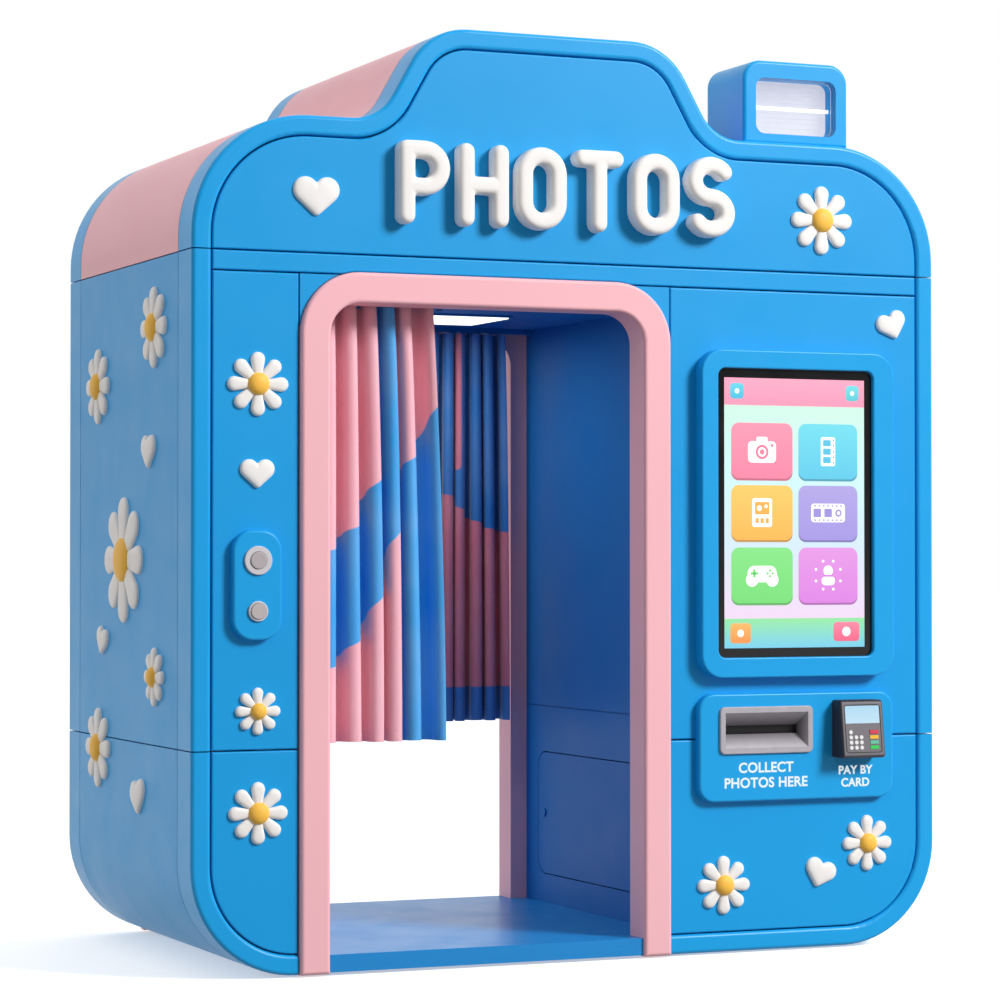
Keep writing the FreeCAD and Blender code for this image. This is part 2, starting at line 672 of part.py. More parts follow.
rim_inside = side - S.rim_face
left_upright = (wall_left_outer - S.tube, wall_left_outer)
right_upright = (wall_right_outer, wall_right_outer + S.tube)
outer_left = (-rim_inside, -rim_inside + S.tube)
outer_right = (rim_inside - S.tube, rim_inside)
skin_inside = side - S.skin_thickness
corner_left = (-skin_inside, -skin_inside + S.tube)
corner_right = (skin_inside - S.tube, skin_inside)
rim_back = front + S.rim_depth
low_beam = (S.post_foot, S.post_foot + S.tube)
seam_beam = (S.shelf_rail_top - S.tube, S.shelf_rail_top)
header_beam = (S.high_seam - S.header_beam_drop - S.tube, S.high_seam - S.header_beam_drop)
roof_beam = (S.roof_beam_top - S.tube, S.roof_beam_top)
tubes = []
for end, plane in (("front", (panel_back, panel_back + S.tube)),
                   ("back", (-panel_back - S.tube, -panel_back))):
    uprights = (("outer_left", outer_left, S.post_foot), ("left", left_upright,
                S.left_upright_foot), ("right", right_upright, S.ground_gap + S.rim_face),
                ("outer_right", outer_right, S.post_foot))
    for name, across, foot in uprights:
        tubes.append(box("%s_%s_upright" % (end, name), across, plane, (foot, header_beam[1])))
    for name, across, level in (
            ("header_beam", (outer_left[0], outer_right[1]), header_beam),
            ("left_low_beam", (outer_left[0], left_upright[1]), low_beam),
            ("left_seam_beam", (outer_left[0], left_upright[1]), seam_beam),
            ("right_low_beam", (right_upright[0], outer_right[1]), low_beam),
            ("roof_beam", (S.hump_centre - S.roof_beam_half, S.hump_centre + S.roof_beam_half),
             roof_beam)):
        tubes.append(box("%s_%s" % (end, name), across, plane, level))
    for name, across in (("left", (S.hump_centre - S.roof_beam_half,
                                   S.hump_centre - S.roof_beam_half + S.tube)),
                         ("right", (S.hump_centre + S.roof_beam_half - S.tube,
                                    S.hump_centre + S.roof_beam_half))):
        tubes.append(box("%s_roof_post_%s" % (end, name), across, plane,
                         (header_beam[0], roof_beam[1])))
    post_y = (rim_back, rim_back + S.tube) if end == "front" else (-rim_back - S.tube, -rim_back)
    tie_y = ((plane[0], post_y[1]) if end == "front" else (post_y[0], plane[1]))
    for name, across, tie_x in (("left", corner_left, (outer_left[0], corner_left[1])),
                                ("right", corner_right, (corner_right[0], outer_right[1]))):
        tubes.append(box("%s_corner_post_%s" % (end, name), across, post_y,
                         (S.post_foot, S.post_top)))
        for level_name, level in (("low", low_beam), ("seam", seam_beam),
                                  ("header", header_beam)):
            tubes.append(box("%s_%s_%s_tie" % (end, name, level_name), tie_x, tie_y, level))
depth_run = (panel_back, -panel_back)
camera_rail = (S.camera_rail_top - S.tube, S.camera_rail_top)
for name, across, level in (
        ("left_header_rail", left_upright, header_beam),
        ("right_header_rail", right_upright, header_beam),
        ("left_low_rail", left_upright, low_beam),
        ("right_shelf_rail", right_upright, seam_beam),
        ("outer_shelf_rail", outer_right, seam_beam),
        ("camera_rail", outer_left, camera_rail)):
    tubes.append(box(name, across, depth_run, level))
nodes["steel_frame"] = fuse("steel_frame", tubes, refine=False)

foot_places = [(across * S.foot_pitch_across, deep * S.foot_pitch_deep)
               for across in (-1, 0, 1) for deep in (-1, 0, 1)]
nodes["levelling_feet"] = group("levelling_feet", [
    cylinder("foot_%d" % number, (x, y, Size.of(0)), S.ground_gap, S.foot_radius)
    for number, (x, y) in enumerate(foot_places)])

# ---------------------------------------------------------------- ceiling light

light_levels = (S.ceiling_bottom - S.light_tray, S.ceiling_bottom)
nodes["ceiling_light"] = box("ceiling_light", (S.light_left, S.light_right),
                             (S.light_front, S.light_back), light_levels)
nodes["ceiling_light_diffuser"] = box(
    "ceiling_light_diffuser", (S.light_left + S.light_border, S.light_right - S.light_border),
    (S.light_front + S.light_border, S.light_back - S.light_border),
    (light_levels[0] - S.light_diffuser, light_levels[0]))

# ---------------------------------------------------------------- curtains

rail_levels = (S.ceiling_bottom - S.rail_height, S.ceiling_bottom)
glider_levels = (rail_levels[0] - S.glider_gap - S.glider_height, rail_levels[0] - S.glider_gap)
curtain_levels = (S.curtain_bottom, glider_levels[0] - S.curtain_gap)
rails = []
for end, toward in (("front", 1), ("back", -1)):
    middle = toward * (front + S.curtain_setback)
    half = S.curtain_thickness / 2
    rails.append(box(end + "_rail", (passage_left, passage_right),
                     (middle - S.rail_width / 2, middle + S.rail_width / 2), rail_levels))
    jamb = front_jambs[0] if toward > 0 else back_jambs[1] - S.back_curtain_inset
    start = jamb + toward * S.curtain_jamb_gap
    lead = start + toward * S.curtain_width
    across = (start, lead) if toward > 0 else (lead, start)
    nodes[end + "_curtain"] = box(end + "_curtain", across, (middle - half, middle + half),
                                  curtain_levels)
    glider_y = (middle - S.glider_width / 2, middle + S.glider_width / 2)

    def glider(label, x):
        low, high = (x - S.glider_width, x) if toward > 0 else (x, x + S.glider_width)
        return box(label, (low, high), glider_y, glider_levels)

    nodes[end + "_lead_glider"] = glider(end + "_lead_glider", lead)
    nodes[end + "_mid_gliders"] = group(end + "_mid_gliders", [
        glider("%s_mid_glider_%d" % (end, number),
               start + toward * (S.mid_glider_offset - number * 2 * S.glider_width))
        for number in range(3)])
nodes["curtain_rails"] = group("curtain_rails", rails)

# ---------------------------------------------------------------- touch screen

glass_outline = rounded_rectangle(S.glass_left, S.glass_right, S.glass_bottom, S.glass_top,
                                  S.glass_corner)
screen_front = front - S.screen_proud
nodes["screen_bezel"] = plate("screen_bezel", [
    rounded_rectangle(S.screen_left, S.screen_right, S.screen_bottom, S.screen_top,
                      S.screen_corner), glass_outline], panel_front, screen_front,
    S.glass_round)
glass_front = screen_front + S.glass_recess
nodes["touch_screen"] = plate("touch_screen", [
    rounded_rectangle(S.glass_left + S.glass_gap, S.glass_right - S.glass_gap,
                      S.glass_bottom + S.glass_gap, S.glass_top - S.glass_gap,
                      S.glass_corner - S.glass_gap)],
    glass_front + S.glass_thickness, glass_front)
computer_front = glass_front + S.glass_thickness
nodes["panel_pc"] = box("panel_pc", (S.glass_left + S.computer_inset,
                                     S.glass_right - S.computer_inset),
                        (computer_front, computer_front + S.computer_depth),
                        (S.glass_bottom + S.computer_inset, S.glass_top - S.computer_inset))

# ---------------------------------------------------------------- outlet plate and strip tray

plate_front = front - S.plate_proud
tray_opening = corners([(tray_body_x[0], tray_body_z[0], 0), (tray_body_x[1], tray_body_z[0], 0),
                        (tray_body_x[1], tray_body_z[1], 0), (tray_body_x[0], tray_body_z[1], 0)])
outlet_outline = rounded_rectangle(S.outlet_left, S.outlet_right, S.outlet_bottom,
                                   S.outlet_top, S.outlet_corner)
nodes["outlet_plate"] = cut("outlet_plate", plate("outlet_blank", [outlet_outline], panel_front,
                                                  plate_front, S.plate_round), [
    box("outlet_tray_hole", tray_body_x, all_depth, tray_body_z)])
tray_front = plate_front - S.tray_proud
tray_floor = plate_front + S.tray_depth
tray_blank = fuse("tray_blank", [
    plate("tray_flange_plate", [rounded_rectangle(S.tray_left, S.tray_right, S.tray_bottom,
                                                  S.tray_top, S.tray_corner)],
          plate_front, tray_front, S.tray_round),
    box("tray_body", tray_body_x, (plate_front, tray_floor), tray_body_z)])


def loft(label, sections):
    """Solid through several rectangles, each (y, x, z) with low and high values."""
    item = doc.addObject("Part::Loft", label)
    outlines = []
    for number, (y, x, z) in enumerate(sections):
        frame = doc.addObject("Part::Plane", "%s_section_%d" % (label, number))
        frame.Placement.Rotation = FreeCAD.Rotation(V(1, 0, 0), 90)
        bind(frame, "Length", x[1] - x[0])
        bind(frame, "Width", z[1] - z[0])
        place(frame, x[0], y, z[0])
        outlines.append(frame)
    item.Sections = outlines
    item.Solid = True
    item.Ruled = True
    return item


inner_x = (S.tray_left + S.tray_border, S.tray_right - S.tray_border)
inner_z = (S.tray_bottom + S.tray_border, S.tray_top - S.tray_border)
slot_x = (inner_x[0] + S.tray_border, inner_x[1] - S.tray_border)
slot_z = (inner_z[0] + S.tray_slot_inset, inner_z[1] - S.tray_slot_inset)
slot_mouth = tray_floor - S.tray_floor_thickness - S.tray_slot_depth
funnel_lap = 1
nodes["strip_tray"] = cut("strip_tray", tray_blank, [
    loft("tray_funnel", [(tray_front - funnel_lap, inner_x, inner_z),
                         (slot_mouth + funnel_lap, slot_x, slot_z)]),
    box("tray_slot", slot_x, (slot_mouth, tray_floor - S.tray_floor_thickness), slot_z)])

# ---------------------------------------------------------------- card reader
# The reader's face leans back by reader_slope, and its keys move square to that face.

reader_wide = S.reader_right - S.reader_left
reader_middle = (S.reader_left + S.reader_right) / 2
slope = S.reader_slope
reader_tall = S.reader_top - S.reader_bottom
face_foot_y = plate_front - S.reader_foot
face_head_y = face_foot_y + reader_tall * slope.sine() / slope.cosine()
bend = S.reader_corner
reader_outline = [
    (face_foot_y + bend, S.reader_bottom + bend, bend, 1),
    (plate_front, S.reader_bottom, 0, 1), (plate_front, S.reader_top, 0, 1),
    (face_head_y + bend, S.reader_top - bend, bend, 1)]
reader_blank = side_plate("reader_blank", [reader_outline], S.reader_left, reader_wide)


def on_reader(across, up, out):
    """Point on the reader's face: across from its middle, up from its foot, out along its normal."""
    return (reader_middle + across, face_foot_y + up * slope.sine() - out * slope.cosine(),
            S.reader_bottom + up * slope.cosine() + out * slope.sine())


def key_box(label, across, up, width, height, out, deep):
    """Rectangular key on the reader's face, from out above the face to deep below it."""
    item = doc.addObject("Part::Box", label)
    bind(item, "Length", width)
    bind(item, "Width", Size.of(out) + deep)
    bind(item, "Height", height)
    item.Placement.Rotation = FreeCAD.Rotation(V(-1, 0, 0), slope.value)
    place(item, *on_reader(across - width / 2, up - height / 2, out))
    bind(item, "Placement.Rotation.Angle", slope)
    return item


def key_disc(label, across, up, radius, out, deep):
    """Round key on the reader's face."""
    item = doc.addObject("Part::Cylinder", label)
    bind(item, "Radius", radius)
    bind(item, "Height", Size.of(out) + deep)
    item.Placement.Rotation = FreeCAD.Rotation(V(1, 0, 0), 90 - slope.value)
    place(item, *on_reader(across, up, -Size.of(deep)))
    bind(item, "Placement.Rotation.Angle", 90 - slope)
    return item


hollow = S.key_sunk + S.key_travel + S.key_gap
number_places = [(S.number_keys_centre + (column - 1) * S.number_pitch,
                  S.lowest_key_row + line * S.key_row_pitch)
                 for line in range(3) for column in range(3)]
number_places.append((S.number_keys_centre - S.number_pitch,
                      S.lowest_key_row + 3 * S.key_row_pitch))
function_names = ("enter_key", "info_key", "clear_key", "cancel_key")
reader_cuts, number_discs = [], []
for number, (across, up) in enumerate(number_places):
    number_discs.append(key_disc("number_key_%d" % number, across, up, S.number_key_radius,
                                 S.key_proud, S.key_sunk))
    reader_cuts.append(key_disc("number_hole_%d" % number, across, up,
                                S.number_key_radius + S.key_gap, S.key_cut_reach, hollow))
for line, name in enumerate(function_names):
    up = S.lowest_key_row + line * S.key_row_pitch
    nodes[name] = key_box(name, S.function_keys_centre, up, S.function_key_width,
                          S.function_key_height, S.key_proud, S.key_sunk)
    reader_cuts.append(key_box(name + "_hole", S.function_keys_centre, up,
                               S.function_key_width + 2 * S.key_gap,
                               S.function_key_height + 2 * S.key_gap, S.key_cut_reach, hollow))
display_wide = reader_wide - S.display_left - S.display_right
reader_cuts.append(key_box("display_hollow", (S.display_left - S.display_right) / 2,
                           (S.display_low + S.display_high) / 2, display_wide,
                           S.display_high - S.display_low, S.key_cut_reach,
                           S.display_depth))
nodes["card_reader"] = cut("card_reader", rounded(
    "reader_shell", reader_blank, S.reader_round,
    lambda edge: (lies_at("x", S.reader_left)(edge) or lies_at("x", S.reader_right)(edge))
    and not lies_at("y", plate_front)(edge)), reader_cuts)
nodes["reader_display"] = key_box("reader_display", (S.display_left - S.display_right) / 2,
                                  (S.display_low + S.display_high) / 2,
                                  display_wide - 2 * S.key_gap,
                                  S.display_high - S.display_low - 2 * S.key_gap,
                                  -S.display_sunk, S.display_depth)
nodes["number_keys"] = group("number_keys", number_discs)

# ---------------------------------------------------------------- button plate

plate_x = (S.button_plate_centre - S.button_plate_half,
           S.button_plate_centre + S.button_plate_half)
button_plate = plate("button_plate_blank", [rounded_rectangle(
    plate_x[0], plate_x[1], S.button_plate_bottom, S.button_plate_top,
    S.button_plate_corner)], panel_front, plate_front, S.plate_round)
button_tools, bezels = [], []
for name, level, bezel, radius in (
        ("start_button", S.start_level, S.start_bezel_radius, S.start_radius),
        ("call_button", S.call_level, S.call_bezel_radius, S.call_radius)):
    middle = S.button_plate_centre
    hole = radius + S.button_gap
    button_tools.append(cylinder(name + "_hole", (middle, plate_front + S.button_hole, level),
                                 S.button_hole + S.tool_reach, hole, "-y"))
    bezels.append(plate(name + "_bezel", [], plate_front, plate_front - S.bezel_proud,
                        S.button_round, circles=[(middle, level, bezel), (middle, level, hole)]))
    button_face = plate_front - S.bezel_proud - S.button_proud
    nodes[name] = plate(name, [], plate_front + S.button_sunk, button_face, S.button_round,
                        circles=[(middle, level, radius)])
nodes["button_plate"] = cut("button_plate", button_plate, button_tools)
nodes["button_bezels"] = group("button_bezels", bezels)

# ---------------------------------------------------------------- roof flash lamp

flash_front = front + S.flash_setback
flash_outline = corners([(S.flash_left, S.shoulder_height, 0),
                         (S.flash_right, S.shoulder_height, 0),
                         (S.flash_right, S.flash_top, S.flash_corner),
                         (S.flash_left, S.flash_top, S.flash_corner)])
flash_block = plate("flash_block", [flash_outline], flash_front + S.flash_depth, flash_front,
                    S.flash_round)


def flash_window(clearance):
    return rounded_rectangle(S.flash_window_left + clearance, S.flash_window_right - clearance,
                             S.flash_window_bottom + clearance, S.flash_window_top - clearance,
                             S.flash_window_corner - clearance)


flash_floor = flash_front + S.flash_window_depth
nodes["flash_housing"] = cut("flash_housing", flash_block, [
    plate("flash_hollow", [flash_window(Size.of(0))], flash_floor, flash_front - S.tool_reach)])
lens_front = flash_front + S.flash_lens_recess
nodes["flash_lens"] = plate("flash_lens", [flash_window(S.flash_gap)],
                            lens_front + S.flash_lens_thickness, lens_front)
rib_pitch = (S.flash_window_top - S.flash_window_bottom) / (S.reflector_ribs + 1)
rib_x = (S.flash_window_left + S.flash_window_corner, S.flash_window_right
         - S.flash_window_corner)
reflector_face = flash_floor - S.reflector_plate
nodes["flash_reflector"] = fuse("flash_reflector", [
    plate("reflector_back", [flash_window(S.flash_gap)], flash_floor, reflector_face)] + [
    box("reflector_rib_%d" % number, rib_x, (reflector_face - S.reflector_rib, reflector_face),
        (S.flash_window_bottom + rib_pitch * (number + 1) - S.reflector_rib / 2,
         S.flash_window_bottom + rib_pitch * (number + 1) + S.reflector_rib / 2))
    for number in range(int(S.reflector_ribs.value))])
tube_y = reflector_face - S.reflector_rib - S.flash_tube_radius - S.flash_tube_gap
flash_middle = (S.flash_window_bottom + S.flash_window_top) / 2
nodes["flash_tube"] = cylinder("flash_tube", (S.flash_window_left + S.flash_gap, tube_y,
                                              flash_middle),
                               S.flash_window_right - S.flash_window_left - 2 * S.flash_gap,
                               S.flash_tube_radius, "x")

# ---------------------------------------------------------------- sign letters

stroke = S.letter_stroke
tall = S.letter_height
wide = S.letter_width
soft = S.letter_corner
waist = (tall - stroke) / 2


def letter_outlines(letter):
    """Outlines of one capital, as (across, up, corner) from its lower left."""
    inner = soft - stroke
    if letter == "P":
        low = tall - waist - 2 * stroke
        return [[(0, 0, 0), (stroke, 0, 0), (stroke, low, 0), (wide, low, soft),
                 (wide, tall, soft), (0, tall, 0)],
                [(stroke, low + stroke, 0), (wide - stroke, low + stroke, inner),
                 (wide - stroke, tall - stroke, inner), (stroke, tall - stroke, 0)]]
    if letter == "H":
        return [[(0, 0, 0), (stroke, 0, 0), (stroke, waist, 0), (wide - stroke, waist, 0),
                 (wide - stroke, 0, 0), (wide, 0, 0), (wide, tall, 0), (wide - stroke, tall, 0),
                 (wide - stroke, waist + stroke, 0), (stroke, waist + stroke, 0),
                 (stroke, tall, 0), (0, tall, 0)]]
    if letter == "O":
        return [[(0, 0, soft), (wide, 0, soft), (wide, tall, soft), (0, tall, soft)],
                [(stroke, stroke, inner), (wide - stroke, stroke, inner),
                 (wide - stroke, tall - stroke, inner), (stroke, tall - stroke, inner)]]
    if letter == "T":
        left, right = (wide - stroke) / 2, (wide + stroke) / 2
        return [[(left, 0, 0), (right, 0, 0), (right, tall - stroke, 0),
                 (wide, tall - stroke, 0), (wide, tall, 0), (0, tall, 0),
                 (0, tall - stroke, 0), (left, tall - stroke, 0)]]
    return [[(0, 0, 0), (wide, 0, soft), (wide, waist + stroke, soft),
             (stroke, waist + stroke, inner), (stroke, tall - stroke, inner),
             (wide, tall - stroke, 0), (wide, tall, 0), (0, tall, soft), (0, waist, soft),
             (wide - stroke, waist, inner), (wide - stroke, stroke, inner), (0, stroke, 0)]]


letters = []
for number, letter in enumerate("PHOTOS"):
    left = S.letter_left + number * (wide + S.letter_space)
    outlines = [corners([(left + across, S.letter_bottom + up, radius)
                         for across, up, radius in outline])
                for outline in letter_outlines(letter)]
    letters.append(plate("letter_%d" % number, outlines, panel_front,
                         panel_front - S.letter_thickness, S.letter_round))
nodes["sign_letters"] = group("sign_letters", letters)

# ---------------------------------------------------------------- daisies and hearts
# Each face gives the turn about Z that makes a front-facing piece face it, and a function from
# (across, up) on that face to the place of a piece.

FACES = {
    "front": (0, lambda across, up: (across, panel_front, up)),
    "back": (180, lambda across, up: (across, -panel_front, up)),
    "left": (-90, lambda across, up: (-side, across, up)),
    "right": (90, lambda across, up: (side, across, up))}
SIDE_DAISIES = [(-234, 1546, 198), (244, 1426, 193), (16, 984, 314), (-244, 702, 143),
                (237, 507, 202)]
SIDE_HEARTS = [(-193, 1247, 81, 0), (197, 779, 68, 12), (-109, 405, 84, -8)]
DAISIES = {
    "front": [(-838, 1398, 152), (-837, 629, 112), (-836, 390, 147), (391, 172, 146),
              (802, 263, 142), (673, 1847, 175)],
    "left": SIDE_DAISIES, "right": SIDE_DAISIES,
    "back": [(-873, 1398, 118), (-873, 629, 112), (560, 1250, 230), (790, 880, 150),
             (470, 420, 170), (560, 1847, 175)]}
HEARTS = {
    "front": [(-692, 1847, 93, 0), (-839, 1187, 68, 0), (878, 1585, 69, -20),
              (665, 191, 70, 20)],
    "left": SIDE_HEARTS, "right": SIDE_HEARTS,
    "back": [(-692, 1847, 93, 0), (760, 1480, 80, 14), (440, 850, 84, -12)]}
PETALS = 8
# Shares of a daisy's width: petal tip and root radii, where the root lies, and the centre's radius.
PETAL_TIP, PETAL_ROOT, PETAL_ROOT_PLACE, DAISY_CENTRE = 0.118, 0.06, 0.13, 0.18
# Shares of a heart's height: lobe radius, how far the lobes stand apart, and the notch's height.
HEART_LOBE, HEART_SPREAD, HEART_NOTCH = 0.29, 0.28, 0.33
DOME_ROUNDING = 0.7
NEAR_MIDDLE = Size.of(0.001)


def on_face(body, face, across, up, out):
    """Turn and place a front-facing body on one face of the booth."""
    turn, where = FACES[face]
    body.Placement.Rotation = FreeCAD.Rotation(V(0, 0, 1), turn)
    x, y, z = where(Size.of(across), Size.of(up))
    step = {"front": (0, -1), "back": (0, 1), "left": (-1, 0), "right": (1, 0)}[face]
    place(body, x + step[0] * out, y + step[1] * out, z)
    return body


def padded_body(label, outline, circles, thickness, rounding=None):
    """Front-facing body with its back at its own origin."""
    return plate(label, [outline] if outline else [], Size.of(0), -Size.of(thickness), rounding,
                 circles)


def daisy(label, face, across, up, size):
    """Eight petals round a disc, and the domed centre that sits on it."""
    tip = size * PETAL_TIP
    petal = [(NEAR_MIDDLE, Size.of(size / 2 - tip), Size.of(tip), 1),
             (NEAR_MIDDLE, Size.of(size * PETAL_ROOT_PLACE), Size.of(size * PETAL_ROOT), 1)]
    body = padded_body(label + "_petals", petal, (), S.petal_thickness)
    doc.recompute()
    pattern = body.newObject("PartDesign::PolarPattern", label + "_pattern")
    pattern.Originals = [body.Group[1]]
    pattern.Axis = (body.Group[0], ["N_Axis"])
    pattern.Angle = 360
    pattern.Occurrences = PETALS
    body.Tip = pattern
    on_face(body, face, across, up, 0)
    dome = padded_body(label + "_centre", None, [(NEAR_MIDDLE, NEAR_MIDDLE, size * DAISY_CENTRE)],
                       S.centre_thickness, S.centre_thickness * DOME_ROUNDING)
    on_face(dome, face, across, up, S.petal_thickness)
    return body, dome


def heart(label, face, across, up, size, tilt):
    """Heart: two round lobes, a notch and a point."""
    lobe = size * HEART_LOBE
    spread = size * HEART_SPREAD
    lobe_level = Size.of(size / 2 - lobe)
    outline = [(NEAR_MIDDLE, Size.of(-size / 2), Size.of(0), 1),
               (Size.of(spread), lobe_level, Size.of(lobe), 1),
               (NEAR_MIDDLE, Size.of(size * HEART_NOTCH), Size.of(0), -1),
               (Size.of(-spread), lobe_level, Size.of(lobe), 1)]
    body = padded_body(label, outline, (), S.heart_thickness, S.decor_round)
    on_face(body, face, across, up, 0)
    turn = FreeCAD.Rotation(V(0, 1, 0), tilt)
    body.Placement.Rotation = body.Placement.Rotation.multiply(turn)
    return body


petals, centres, hearts = [], [], []
for face, places in DAISIES.items():
    for number, (across, up, size) in enumerate(places):
        body, dome = daisy("daisy_%s_%d" % (face, number), face, across, up, size)
        petals.append(body)
        centres.append(dome)
for face, places in HEARTS.items():
    for number, (across, up, size, tilt) in enumerate(places):
        hearts.append(heart("heart_%s_%d" % (face, number), face, across, up, size, tilt))
nodes["daisy_petals"] = group("daisy_petals", petals)
nodes["daisy_centres"] = group("daisy_centres", centres)
nodes["hearts"] = group("hearts", hearts)

# ---------------------------------------------------------------- camera and equipment
# The camera looks across the passage through its window in the left inner wall.

camera_back = -rim_inside
camera_front = camera_back + S.camera_length
lens_end = passage_left - S.lens_recess
nodes["camera"] = fuse("camera", [
    box("camera_body", (camera_back, camera_front),
        (S.window_depth_place - S.camera_half, S.window_depth_place + S.camera_half),
        (S.camera_rail_top, S.camera_rail_top + S.camera_height)),
    cylinder("camera_lens", (camera_front - 1, S.window_depth_place, S.window_level),
             lens_end - camera_front + 1, S.window_radius - S.window_gap, "x")])
shelf_levels = (S.shelf_rail_top, S.shelf_rail_top + S.shelf_thickness)
nodes["equipment_shelf"] = box("equipment_shelf", (wall_right_outer, side - S.shelf_right_gap),
                               (front + S.shelf_end_gap, back - S.shelf_end_gap), shelf_levels)
nodes["photo_printer"] = box("photo_printer", (S.printer_left, S.printer_right),
                             (S.printer_front, S.printer_front + S.printer_depth),
                             (shelf_levels[1], shelf_levels[1] + S.printer_height))
nodes["mains_inlet"] = fuse("mains_inlet", [
    box("inlet_block", inlet_x, (-panel_front - S.inlet_depth, -panel_front), inlet_z),
    box("inlet_cover", (inlet_x[0] - S.inlet_flange, inlet_x[1] + S.inlet_flange),
        (-panel_front, -panel_front + S.inlet_proud),
        (inlet_z[0] - S.inlet_flange, inlet_z[1] + S.inlet_flange))])

# ---------------------------------------------------------------- check and export

doc.recompute()
faults = [item.Name for item in doc.Objects
          if "Invalid" in item.State or "Error" in item.State]
for name, item in nodes.items():
    if item.Shape.isNull() or not item.Shape.isValid() or not item.Shape.Solids:
        faults.append(name)
    item.Label = name
if faults:
    raise ValueError("failed objects: " + ", ".join(sorted(set(faults))))
os.makedirs("parts", exist_ok=True)
for name, item in nodes.items():
    item.Shape.exportStep("parts/%s.step" % name)
print("%d parts" % len(nodes))
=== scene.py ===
"""Studio scene of a walk-through photo booth: finishes, curtains, decorations and lit details."""
import json
import logging
import math
from collections.abc import Callable, Sequence
from dataclasses import dataclass, field
from enum import Enum

import bmesh
import bpy
import numpy as np
from mathutils import Matrix, Vector


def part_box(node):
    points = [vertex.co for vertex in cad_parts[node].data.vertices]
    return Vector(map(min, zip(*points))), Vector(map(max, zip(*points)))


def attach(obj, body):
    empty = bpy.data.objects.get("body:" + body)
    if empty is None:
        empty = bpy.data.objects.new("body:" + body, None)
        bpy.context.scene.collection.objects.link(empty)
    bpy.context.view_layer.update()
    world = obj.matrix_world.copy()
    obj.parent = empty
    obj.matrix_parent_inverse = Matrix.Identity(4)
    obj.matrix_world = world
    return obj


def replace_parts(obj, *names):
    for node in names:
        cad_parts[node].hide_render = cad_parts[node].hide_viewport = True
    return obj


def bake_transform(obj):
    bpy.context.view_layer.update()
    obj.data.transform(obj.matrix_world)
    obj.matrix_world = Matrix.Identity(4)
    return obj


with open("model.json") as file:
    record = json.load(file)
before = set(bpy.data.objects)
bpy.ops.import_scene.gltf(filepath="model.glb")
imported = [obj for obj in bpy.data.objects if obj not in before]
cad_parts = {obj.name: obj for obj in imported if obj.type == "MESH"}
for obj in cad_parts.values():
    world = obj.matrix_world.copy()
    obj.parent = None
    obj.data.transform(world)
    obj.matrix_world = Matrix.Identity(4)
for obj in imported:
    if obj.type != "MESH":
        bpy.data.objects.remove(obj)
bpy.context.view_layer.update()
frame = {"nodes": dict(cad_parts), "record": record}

LOG = logging.getLogger("photo_booth")
Point = tuple[float, float]
Triple = tuple[float, float, float]
Rgba = tuple[float, float, float, float]
MM = 0.001
WHITE: Rgba = (1.0, 1.0, 1.0, 1.0)
BLACK: Rgba = (0.0, 0.0, 0.0, 1.0)
BESSEL_ZERO = 2.4048  # a meander that swings by this angle doubles back without going forward


# ---------------------------------------------------------------- colours and node graphs

def web(code: str, gain: float = 1.0) -> Rgba:
    """Linear colour of a six-digit web colour.

    Args:
        code: Six hexadecimal digits.
        gain: How much brighter or darker the result is.

    Returns:
        Red, green, blue and alpha.
    """
    parts = []
    for start in (0, 2, 4):
        level = int(code[start:start + 2], 16) / 255
        linear = level / 12.92 if level <= 0.04045 else ((level + 0.055) / 1.055) ** 2.4
        parts.append(min(linear * gain, 1.0))
    return (parts[0], parts[1], parts[2], 1.0)


